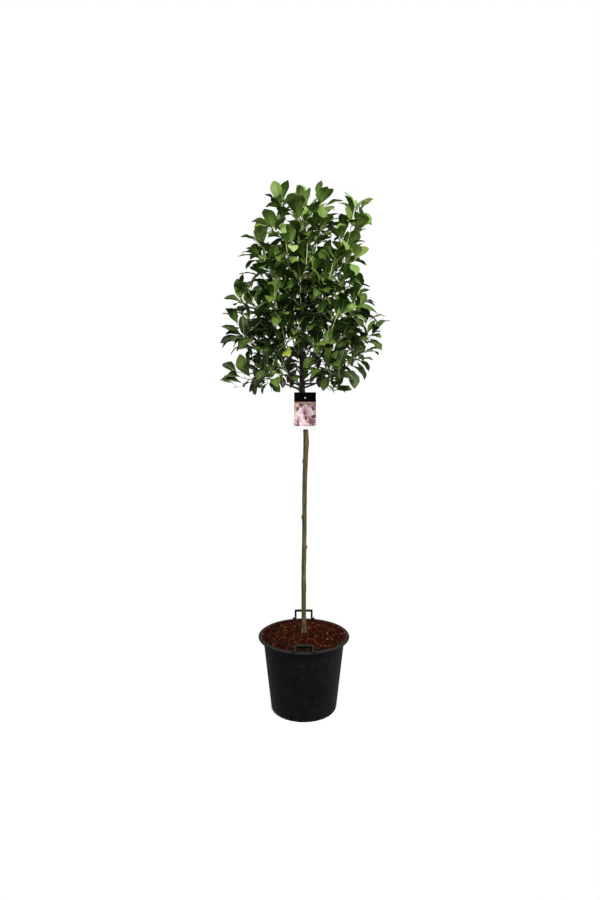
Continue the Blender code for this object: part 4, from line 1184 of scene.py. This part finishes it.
class Shoot:
    """One mass of foliage: a stem, its side twigs and their leaves, all from one seeded rule."""

    def __init__(self, name, path, first_way, start_radius, number):
        self.name = name
        self.path = path
        self.first_way = first_way
        self.start_radius = start_radius
        self.radii = taper(start_radius, STEM_END_RADIUS, len(path))
        self.rng = random.Random(SEED * 1000 + number)
        self.twigs = []  # each a path and the curve that it was made from
        self.spurs = []
        self.leaves = []  # pairs of a leaf and the number of the limb that it is on

    def stem_shape(self, grow):
        """The plain stem, as room that nothing else may grow into."""
        return tube(self.path, [r + grow for r in self.radii], STEM_SIDES, first_way=self.first_way)

    def grow_twigs(self, space):
        """Side twigs up the stem, each turned by the golden angle from the one before."""
        length = path_length(self.path)
        turn = self.rng.uniform(0, 2 * math.pi)
        place = 0.02
        while place < length * 0.72:
            root, way = along(self.path, place / length)
            for _ in range(4):
                side = sideways(way, turn)
                size = TWIG_LENGTH * (1 - 0.55 * place / length) * self.rng.uniform(0.7, 1.2)
                curve = side_curve(root, way, side, size, 0.45, 0.6, 0.6)
                path = bend(*curve, TWIG_RINGS)
                wide = [r + 0.001 for r in taper(TWIG_RADIUS, TWIG_END_RADIUS, TWIG_RINGS)]
                shape = tube(path, wide, 3)
                outer = tube([path[0].lerp(path[1], 0.3), *path[1:]], wide, 3)
                if within_crown(curve[2]) and space.is_free(shape, outer, self.name):
                    self.twigs.append((path, curve))
                    space.take(shape, self.name, len(self.twigs))
                    break
                turn += math.radians(50)
            turn += GOLDEN_ANGLE
            place += TWIG_SPACING * self.rng.uniform(0.8, 1.2)

    def grow_leaves(self, space):
        """The leaves of the stem, and then of each twig."""
        self.leaves_along(space, self.path, 0, 0.42, STEM_LEAF_SPACING)
        for number, (path, _) in enumerate(self.twigs, 1):
            self.leaves_along(space, path, number, 0.42, TWIG_LEAF_SPACING)

    def leaves_along(self, space, path, limb, first, spacing):
        """Leaves in a spiral, the last three of them close together round the limb's end bud."""
        length = path_length(path)
        places = []
        place = length * first
        while place < length - spacing * 0.8:
            places.append(place / length)
            place += spacing * self.rng.uniform(0.85, 1.15)
        places += [0.90, 0.95, 0.985]
        turn = self.rng.uniform(0, 2 * math.pi)
        for number, share in enumerate(places):
            root, way = along(path, share)
            turn += GOLDEN_ANGLE
            self.grow_leaf(space, root, way, turn, limb, number >= len(places) - 3)

    def grow_leaf(self, space, root, way, turn, limb, last):
        """One leaf, if some way that it may point is free. The last ones of a limb point along it."""
        height = crown_height(root)
        for attempt in range(LEAF_TRIES):
            side = sideways(way, turn + self.rng.uniform(-0.35, 0.35) * (1 + attempt))
            forward = self.rng.uniform(0.7, 1.1) if last else self.rng.uniform(0.15, 0.55)
            lift = -0.35 + 0.85 * height + self.rng.uniform(-0.2, 0.2)
            pointing = (way * forward + side + UP * lift).normalized()
            face = upper_face(self.rng, way, side, pointing, 0.35)
            length = self.rng.uniform(*LEAF_LENGTH) * (0.86 if last else 1) * 0.95**attempt
            leaf = Leaf(root, pointing, face, length, length * self.rng.uniform(*LEAF_SHAPE))
            if not within_crown(root + pointing * length):
                continue
            shape = leaf_room(leaf, 0.004)
            if space.is_free(shape, leaf_room(leaf, 0.003, 0.16), self.name, limb):
                self.leaves.append((leaf, limb))
                space.take(shape, self.name, f"leaf {len(self.leaves)}")
                return


def plan_shoots():
    """The stems of all masses, each starting just clear of its bough's tip or of the trunk's."""
    shoots = []
    for number, bough in enumerate(BOUGHS):
        path = bough_path(bough)
        way = outward(bough.side, bough.lean)
        start = path[-1] + way * GAP
        end = outward(bough.shoot_side) * bough.shoot_reach + UP * bough.top
        end_way = (way * 0.3 + (end - start).normalized() * 0.5 + UP * 0.4).normalized()
        stem = bend(start, way, end, end_way, STEM_RINGS)
        shoots.append(Shoot(f"foliage_{bough.name}", stem, way, BOUGH_TIP_RADIUS, number))
    side, reach, top = LEADER_SHOOT
    trunk_tip, radius = trunk_at(TRUNK[-1][0])
    way = trunk_way()
    start, end = trunk_tip + way * GAP, outward(side) * reach + UP * top
    stem = bend(start, way, end, UP, STEM_RINGS)
    shoots.append(Shoot("foliage_leader", stem, way, radius * 0.8, len(BOUGHS)))
    return shoots


def room_for_tag():
    """The tag and the air in front of it, where no leaf hangs."""
    half, top = TAG_WIDTH / 2 + TAG_CLEARANCE, TAG_HIGH + TAG_CLEARANCE
    corners = ((-half, TAG_LOW), (half, TAG_LOW), (half, top), (-half, top))
    depths = (TAG_BACK + 0.002, CROWN_FRONT)
    points = [Vector((TAG_MIDDLE + x, y, z)) for y in depths for x, z in corners]
    faces = [(0, 1, 2, 3), (7, 6, 5, 4), (0, 4, 5, 1), (1, 5, 6, 2), (2, 6, 7, 3), (3, 7, 4, 0)]
    return points, faces


def framework_space(grow):
    """The room that the trunk, the tag and the main boughs take."""
    space = Space()
    space.take(trunk_shape(grow), "trunk")
    space.take(room_for_tag(), "tag")
    for bough in BOUGHS:
        space.take(bough_shape(bough, grow), bough.name)
    return space


shoots = plan_shoots()
space = framework_space(0.001)
for shoot in shoots:
    space.take(shoot.stem_shape(0.001), shoot.name, 0)
for shoot in shoots:
    shoot.grow_twigs(space)
for shoot in shoots:
    shoot.grow_leaves(space)

# The finer growth. Short spurs stand on the stems and twigs, each with a few leaves round its end bud, and
# smaller leaves fill the room that the first ones left.
SLIM = (0.40, 0.50)  # a real blade's width as a share of its length
SPUR_SPACING = 0.055
SPUR_LENGTH = (0.018, 0.045)
SPUR_RADIUS = 0.0011
FINE_LEAF_LENGTH = (0.078, 0.116)
FINE_SPACING = 0.033
FINE_TRIES = 9
FINE_REACH = 0.97
FINE_MARGIN = 0.009  # that a tip keeps from the back of the solids' box, for its blade's arch
FIRST_SPUR = 1000  # the spurs' numbers come after those of the stem and the twigs
SPUR_RINGS = 4
fine_rng = random.Random(SEED * 7)


def slim(leaf, share):
    """The leaf as its blade really is: narrower than the solids' leaf, and shorter but at the rim."""
    tip = leaf.root + leaf.way * leaf.length
    rim = max(math.hypot(tip.x, tip.y) / crown_reach(tip.z), crown_height(tip))
    length = leaf.length * (0.86 + 0.14 * max(0, (rim - 0.9) / 0.1))
    return leaf._replace(length=length, width=length * share)


fine_space = framework_space(0.0005)
for shoot in shoots:
    fine_space.take(shoot.stem_shape(0.0005), shoot.name, 0)
    for number, (path, _) in enumerate(shoot.twigs, 1):
        fine_space.take(tube(path, [TWIG_RADIUS] * TWIG_RINGS, 3), shoot.name, number)
    shoot.leaves = [(slim(leaf, fine_rng.uniform(*SLIM)), limb) for leaf, limb in shoot.leaves]
    for leaf, limb in shoot.leaves:
        fine_space.take(leaf_room(leaf, 0.003), shoot.name, limb)


def add_fine_leaf(shoot, root, way, turn, limb, forward):
    """One more leaf, if some way that it may point is free."""
    height = crown_height(root)
    # The crown is thinner at its foot and just under its top.
    bare = 0.55 if height < 0.16 else 0.30 if height < 0.36 or 0.66 < height < 0.84 else 0.12
    if fine_rng.random() < bare:
        return
    for attempt in range(FINE_TRIES):
        side = sideways(way, turn + fine_rng.uniform(-0.5, 0.5) * (1 + attempt * 0.7))
        lift = -0.40 + 0.6 * height + fine_rng.uniform(-0.35, 0.35)
        pointing = (way * forward * fine_rng.uniform(0.6, 1.4) + side + UP * lift).normalized()
        face = upper_face(fine_rng, way, side, pointing, 0.45)
        length = fine_rng.uniform(*FINE_LEAF_LENGTH) * 0.95**attempt * min(0.80 + 0.35 * height, 1)
        leaf = Leaf(root, pointing, face, length, length * fine_rng.uniform(*SLIM))
        tip = root + pointing * length
        if not within_crown(tip, FINE_REACH) or tip.y > cad_box[1][1] - FINE_MARGIN:
            continue
        if fine_space.is_free(leaf_room(leaf, 0.002), leaf_room(leaf, 0.002, 0.2), shoot.name, limb):
            shoot.leaves.append((leaf, limb))
            fine_space.take(leaf_room(leaf, 0.002), shoot.name, limb)
            return


def add_spurs(shoot, path, limb, first, last):
    """Short twigs along a limb, each with a few leaves round its bud."""
    length = path_length(path)
    place = length * first + fine_rng.uniform(0, SPUR_SPACING)
    turn = fine_rng.uniform(0, 2 * math.pi)
    while place < length * last:
        root, way = along(path, place / length)
        turn += GOLDEN_ANGLE
        side = sideways(way, turn)
        curve = side_curve(root, way, side, fine_rng.uniform(*SPUR_LENGTH), 0.4, 0.5, 0.7)
        spur = bend(*curve, SPUR_RINGS)
        wide = [SPUR_RADIUS * 1.2] * SPUR_RINGS
        room, outer = tube(spur, wide, 3), tube(spur[1:], wide[1:], 3)
        if within_crown(curve[2], FINE_REACH) and fine_space.is_free(room, outer, shoot.name, limb):
            number = FIRST_SPUR + len(shoot.spurs)
            shoot.spurs.append((spur, curve))
            fine_space.take(room, shoot.name, number)
            before = len(shoot.leaves)
            spin = fine_rng.uniform(0, 2 * math.pi)
            for share in (0.55, 0.85, 0.97, 0.99):
                spin += GOLDEN_ANGLE
                leaf_root, leaf_way = along(spur, share)
                forward = 0.9 if share > 0.9 else 0.4
                add_fine_leaf(shoot, leaf_root, leaf_way, spin, number, forward)
            if len(shoot.leaves) == before:
                shoot.spurs[-1] = None  # a spur that stays bare isn't grown
        place += SPUR_SPACING * fine_rng.uniform(0.8, 1.3)


def add_leaves_along(shoot, path, limb, first, last):
    """Smaller leaves in a spiral along a limb, from one share of its length to another."""
    length = path_length(path)
    place = length * first
    turn = fine_rng.uniform(0, 2 * math.pi)
    while place < length * last:
        root, way = along(path, place / length)
        turn += GOLDEN_ANGLE
        add_fine_leaf(shoot, root, way, turn, limb, 0.5)
        place += FINE_SPACING * fine_rng.uniform(0.8, 1.2)


for shoot in shoots:
    for number, (path, _) in enumerate(shoot.twigs, 1):
        add_leaves_along(shoot, path, number, 0.15, 0.98)
    add_leaves_along(shoot, shoot.path, 0, 0.06, 0.98)
for shoot in shoots:
    add_spurs(shoot, shoot.path, 0, 0.03, 0.95)
    for number, (path, _) in enumerate(shoot.twigs, 1):
        add_spurs(shoot, path, number, 0.2, 0.9)

# The stems, twigs and spurs. They are soft wood of this year, ripening from brown at the foot to green at
# the tip. Each grows out of the limb that carries it, and ends in a bud under silky down.
STEM_SHOWN_SIDES = 8
STEM_SHOWN_RINGS = 24
TWIG_SHOWN_SIDES = 6  # of the twigs as they are drawn
TWIG_SHOWN_RINGS = 9
SPUR_SHOWN_SIDES = 5
SPUR_SHOWN_RINGS = 5
BUD_SIDES = 7
NODE_SPACING = 0.022  # between the swellings where a stem's leaves stand
BUD_LENGTH = 0.015
BUD_RADIUS = 0.0029
BUD_PROFILE = ((0, 0.45), (0.12, 0.75), (0.32, 1.0), (0.52, 0.92), (0.72, 0.62), (0.88, 0.32), (1, 0.08))

# Wood of this year, ripened brown at the foot: smooth, with a faint gloss.
ripe_wood = new_finish("ripened_brown_shoot", "3A2F1F", Roughness=0.6)
# Half ripened skin, olive.
olive_wood = new_finish("half_ripe_olive_shoot", "7D8050", Roughness=0.5)
# Soft green skin of the growing tips, pale and a little shiny.
green_wood = new_finish("soft_green_shoot", "B4BA86", Roughness=0.45)
# Bud scales under grey-green silky down, which takes away any shine.
downy_bud = new_finish("downy_bud_scale", "7F8460", Roughness=0.9)
WOODS = [ripe_wood, olive_wood, green_wood, downy_bud]


def bud(tip, way, size):
    """A pointed bud on a limb's end."""
    path = [tip + way * BUD_LENGTH * size * share for share, _ in BUD_PROFILE]
    return tube(path, [BUD_RADIUS * size * share for _, share in BUD_PROFILE], BUD_SIDES)


def add_limb(lists, curve, radii, sides, ripe, olive):
    """A smooth limb in three skins, the first two ending at the shares ripe and olive of its length."""
    points, faces, slots = lists
    path = bend(*curve, len(radii))
    shape = tube(path, radii, sides, first_way=curve[1])
    first = len(slots)
    join_to(points, faces, slots, shape, 2)
    for ring in range(len(radii) - 1):
        share = ring / (len(radii) - 1)
        skin = 0 if share < ripe else 1 if share < olive else 2
        for k in range(sides):
            slots[first + ring * sides + k] = skin
    slots[first + (len(radii) - 1) * sides] = 0 if ripe > 0 else 1
    return path


for shoot, bough in zip(shoots, [*BOUGHS, None]):
    lists = [], [], []
    points, faces, slots = lists
    start, end = shoot.path[0], shoot.path[-1]
    young = crown_height(end)
    end_way = UP
    if bough:
        end_way = (shoot.first_way * 0.3 + (end - start).normalized() * 0.5 + UP * 0.4).normalized()
    curve = (start, shoot.first_way, end, end_way)
    radii = taper(shoot.start_radius, STEM_END_RADIUS, STEM_SHOWN_RINGS)
    length = path_length(shoot.path)
    for ring in range(STEM_SHOWN_RINGS):
        past_node = ring * length / (STEM_SHOWN_RINGS - 1) % NODE_SPACING - NODE_SPACING / 2
        radii[ring] *= 1 + 0.18 * math.exp(-(past_node**2) / 4e-6)
    path = add_limb(lists, curve, radii, STEM_SHOWN_SIDES, 0.45 - 0.35 * young, 0.75 - 0.35 * young)
    join_to(points, faces, slots, bud(path[-1], end_way, 1.0), 3)
    radii = taper(TWIG_RADIUS, TWIG_END_RADIUS, TWIG_SHOWN_RINGS)
    for _, curve in shoot.twigs:
        path = add_limb(lists, curve, radii, TWIG_SHOWN_SIDES, 0.25, 0.6)
        join_to(points, faces, slots, bud(path[-1], curve[3], 0.72), 3)
    radii = taper(SPUR_RADIUS, SPUR_RADIUS * 0.8, SPUR_SHOWN_RINGS)
    for _, curve in filter(None, shoot.spurs):
        path = add_limb(lists, curve, radii, SPUR_SHOWN_SIDES, 0, 0.3)
        join_to(points, faces, slots, bud(path[-1], curve[3], 0.5), 3)
    twigs = add_mesh(shoot.name.replace("foliage", "twigs"), points, faces, WOODS, 50, slots)
    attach(twigs, "root")
    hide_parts(shoot.name)

# The leaves. A magnolia leaf widens from a narrow foot to a broad shoulder and a short drooping point. It
# is folded along a pale midrib, arched, waved at its edges and raised between its side veins. Each is a
# closed blade on its own stalk. Their colours carry painted shade: dark for the shaded inside of the crown,
# and light, as if lit, at its top and rim.
BLADE_START = 0.09  # the stalk's share of a leaf's length
BLADE_THICKNESS = 0.00035
ROWS = (0.05, 0.13, 0.21, 0.29, 0.37, 0.45, 0.53, 0.61, 0.69, 0.77, 0.84, 0.90, 0.95, 0.98)
SHARES = (1.0, 0.68, 0.34)  # of the half width, from the edge inwards
VEIN_HEIGHT = 0.00035
VEIN_SLANT = 0.10
RIB = 0.0010
STALK_SIDES = 5
leaf_rng = random.Random(SEED * 11)

# Upper faces: a firm skin with a thin wax layer, so that it has a soft gloss. Eight colours are painted
# shade, from dark for the shaded inside of the crown to light for its sunlit top and rim, and the last is
# of the one leaf turned yellow.
UPPER_COLOURS = ("0F1807", "1F2D0E", "334715", "455B1E", "526A29", "5F7A36", "6D8644", "7B9153", "8C982E")
TURNED = len(UPPER_COLOURS) - 1
upper_skins = shade_range(
    "waxy_upper_leaf", UPPER_COLOURS, Roughness=0.45, IOR=1.45, Specular_IOR_Level=0.21
)
# Under faces: paler and matt, from fine down along the veins, in four colours of painted shade from the
# crown's inside to its rim.
UNDER_COLOURS = ("1A290D", "35501C", "567030", "788E48")
under_skins = shade_range("painted_shade_downy_under_leaf", UNDER_COLOURS, Roughness=0.7, Specular_IOR_Level=0.1)
# Midrib and stalk: pale yellow-green and smooth.
pale_rib = new_finish("pale_midrib_and_stalk", "7F8F4E", Roughness=0.5)
LEAF_SKINS = [*upper_skins, *under_skins, pale_rib]
UNDER_FIRST = len(upper_skins)
RIB_SLOT = len(LEAF_SKINS) - 1


def outline_at(t):
    """Half the blade's width at a share of its length, as a share of the widest."""
    point = 1 - 0.2 * max(0, (t - 0.85) / 0.15) ** 2
    return math.sin(math.pi * min(t, 1) ** 1.42) ** 0.8 * point


def add_leaf(lists, leaf, upper, under):
    """A closed blade and its stalk."""
    points, faces, slots = lists
    across = leaf.way.cross(leaf.face)
    fold = leaf_rng.uniform(0.10, 0.42)
    arch = leaf_rng.uniform(0.08, 0.19) * leaf.length
    twist = leaf_rng.uniform(-0.28, 0.28)
    wave = leaf_rng.uniform(0.03, 0.11)
    waves = leaf_rng.uniform(1.6, 2.8)
    phases = [leaf_rng.uniform(0, 2 * math.pi) for _ in range(2)]

    def spot(t, share, side, row, under_side):
        """A point of the blade, share of the half width out to a side of the midrib."""
        slanted = t + VEIN_SLANT * share * math.sin(math.pi * t)
        half = max(leaf.width / 2 * outline_at(slanted), RIB * 0.6)
        rib = RIB * (1 - 0.75 * t)
        out = rib + (half - rib) * share if share else rib
        out = min(out, half)
        lift = fold * out - 0.25 * fold * out * share
        lift += wave * half * share**2 * math.sin(2 * math.pi * waves * t + phases[side > 0])
        lift += VEIN_HEIGHT * (1 if row % 2 else -1) * math.sin(math.pi * share) * min(1, half / 0.012)
        if under_side:
            lift -= BLADE_THICKNESS + (0 if share else RIB * 0.8 * (1 - t))
        elif not share:
            lift -= 0.0002
        far = BLADE_START + (1 - BLADE_START) * slanted
        rise = arch * math.sin(math.pi * far**1.2)
        turn = twist * far
        sidewards = across * math.cos(turn) + leaf.face * math.sin(turn)
        upwards = leaf.face * math.cos(turn) - across * math.sin(turn)
        middle = leaf.root + leaf.way * leaf.length * far + leaf.face * rise
        return middle + sidewards * side * out + upwards * lift

    first = len(points)
    foot = leaf.root + leaf.way * leaf.length * BLADE_START
    foot = foot + leaf.face * arch * math.sin(math.pi * BLADE_START**1.2)
    tip = leaf.root + leaf.way * leaf.length
    points += [foot, tip]
    columns = [(share, -1) for share in (*SHARES, 0)] + [(share, 1) for share in (0, *reversed(SHARES))]
    top_rows, under_rows = [], []
    for row, t in enumerate(ROWS):
        top = range(len(points), len(points) + len(columns))
        points += [spot(t, share, side, row, False) for share, side in columns]
        # The under face shares its edges with the upper one.
        bottom = [top[0], *range(len(points), len(points) + len(columns) - 2), top[-1]]
        points += [spot(t, share, side, row, True) for share, side in columns[1:-1]]
        top_rows.append(top)
        under_rows.append(bottom)
    last = len(columns) - 1
    for k in range(last):
        rib = k == last // 2
        top_slot, bottom_slot = (RIB_SLOT, RIB_SLOT) if rib else (upper, UNDER_FIRST + under)
        for a, b in zip(top_rows, top_rows[1:]):
            faces.append((a[k], a[k + 1], b[k + 1], b[k]))
            slots.append(top_slot)
        for a, b in zip(under_rows, under_rows[1:]):
            faces.append((a[k + 1], a[k], b[k], b[k + 1]))
            slots.append(bottom_slot)
        faces.append((first, top_rows[0][k + 1], top_rows[0][k]))
        faces.append((first, under_rows[0][k], under_rows[0][k + 1]))
        faces.append((top_rows[-1][k], top_rows[-1][k + 1], first + 1))
        faces.append((under_rows[-1][k + 1], under_rows[-1][k], first + 1))
        slots += [top_slot, bottom_slot, top_slot, bottom_slot]
    middle = leaf.root.lerp(foot, 0.5) + leaf.face * arch * 0.06
    stalk = [leaf.root, middle, foot + leaf.way * 0.002]
    thick = 0.0007 + leaf.length * 0.004
    join_to(points, faces, slots, tube(stalk, [thick, thick * 0.85, thick * 0.7], STALK_SIDES), RIB_SLOT)


def painted_crown_shade(place):
    """The painted shade of a spray, from 0, dark deep inside the crown, to 7 and over, lit at its top and
    rim.
    """
    out = math.hypot(place.x, place.y) / crown_reach(place.z)
    return 0.1 + 2.7 * out**1.8 + 6.2 * crown_height(place) ** 1.6


TURNED_PLACE = Vector((-0.031, -0.30, 1.525))
TURNED_WEIGHTS = Vector((1, 0.35, 1))  # its depth counts less than its place from the front


def from_turned_place(leaf):
    """How far a leaf is from where one has turned yellow."""
    return ((leaf.root + leaf.way * leaf.length * 0.5 - TURNED_PLACE) * TURNED_WEIGHTS).length


turned_leaf = min((leaf for shoot in shoots for leaf, _ in shoot.leaves), key=from_turned_place)
for shoot in shoots:
    lists = [], [], []
    sprays = sorted({limb for _, limb in shoot.leaves})
    for spray in sprays:
        leaves = [leaf for leaf, limb in shoot.leaves if limb == spray]
        middles = [leaf.root + leaf.way * leaf.length * 0.6 for leaf in leaves]
        # Each spray takes painted shade from its place in the crown, with a random spread.
        shade = painted_crown_shade(sum(middles, Vector()) / len(middles)) + leaf_rng.gauss(0, 0.7)
        for leaf in leaves:
            own = min(max(shade + leaf_rng.choice((-0.8, 0, 0, 0.8)), 0), TURNED - 1)
            upper = TURNED if leaf is turned_leaf else int(round(own))
            add_leaf(lists, leaf, upper, int(own / 2))
    points, faces, slots = lists
    leaves = add_mesh(shoot.name.replace("foliage", "leaves"), points, faces, LEAF_SKINS, 60, slots)
    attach(leaves, "root")
    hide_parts(shoot.name)

# The studio. The pot stands on a disc of white paper in a white surround, which lights it from above and
# below. A soft box stands at the front right, with a weak fill at the left and a low light at the right,
# and the camera is at chest height, looking slightly down.
FLOOR_RADIUS = 0.1455
FLOOR_SIDES = 64
CAMERA_PLACE = (-0.017, -2.829, 1.494)
CAMERA_PITCH = 6.94  # degrees below level
CAMERA_LENS = 26.81

# Matt white seamless paper, with the faintest tooth, drawn at 6 mm so that it shows.
paper = mottled_finish(
    "matt_white_background_paper", "FAFAFA", 6, ((0.3, "F8F8F8"), (0.7, "FCFCFC")),
    Roughness=0.9, Specular_IOR_Level=0.1
)
turns = [math.pi * 2 * i / FLOOR_SIDES for i in range(FLOOR_SIDES)]
floor_points = [(math.cos(turn) * FLOOR_RADIUS, math.sin(turn) * FLOOR_RADIUS, 0) for turn in turns]
floor = add_mesh("studio_floor", floor_points, [tuple(range(FLOOR_SIDES))], [paper])

world = bpy.data.worlds.new("studio")
bpy.context.scene.world = world
world.use_nodes = True
tree = world.node_tree
tree.nodes.clear()
sky_way = add_node(tree, "TexCoord").outputs["Generated"]
upward = add_node(tree, "SeparateXYZ", {"Vector": sky_way}).outputs["Z"]
height = add_node(tree, "MapRange", {"Value": upward, "From Min": -1.0, "From Max": 1.0})
glow = add_node(tree, "ValToRGB", {"Fac": height})
for place, value in ((0.44, 0.30), (0.54, 0.12), (0.88, 1.15)):
    glow.color_ramp.elements.new(place).color = (value, value, value, 1)
glow.color_ramp.elements[0].color = (0.5, 0.5, 0.5, 1)
glow.color_ramp.elements[-1].color = (1.15, 1.15, 1.15, 1)
light_dome = add_node(tree, "Background", {"Color": glow, "Strength": 1.0})
surround = add_node(tree, "Background", {"Color": (1, 1, 1, 1), "Strength": 1.0})
seen = add_node(tree, "LightPath").outputs["Is Camera Ray"]
mixed = add_node(tree, "MixShader", {0: seen, 1: light_dome, 2: surround})
add_node(tree, "OutputWorld", {"Surface": mixed})

for name, place, target, size, power in (
    ("soft_box", (1.2, -3.3, 3.9), (0, 0, 1.6), 2.2, 325),
    ("fill", (-2.8, -2.4, 2.2), (0, 0, 1.2), 2.4, 14),
    ("edge_light", (2.6, 0.5, 0.5), (0, 0, 0.25), 1.2, 22),
):
    lamp = bpy.data.lights.new(name, "AREA")
    lamp.shape = "SQUARE"
    lamp.size = size
    lamp.energy = power
    light = bpy.data.objects.new(name, lamp)
    light.location = place
    light.rotation_euler = (Vector(target) - Vector(place)).to_track_quat("-Z", "Y").to_euler()
    bpy.context.scene.collection.objects.link(light)

view_camera = bpy.data.cameras.new("camera")
view_camera.lens = CAMERA_LENS
view_camera.clip_end = 200
camera = bpy.data.objects.new("camera", view_camera)
camera.location = CAMERA_PLACE
camera.rotation_euler = (math.radians(90 - CAMERA_PITCH), 0, 0)
bpy.context.scene.collection.objects.link(camera)
bpy.context.scene.camera = camera
bpy.context.scene.view_settings.view_transform = "Standard"
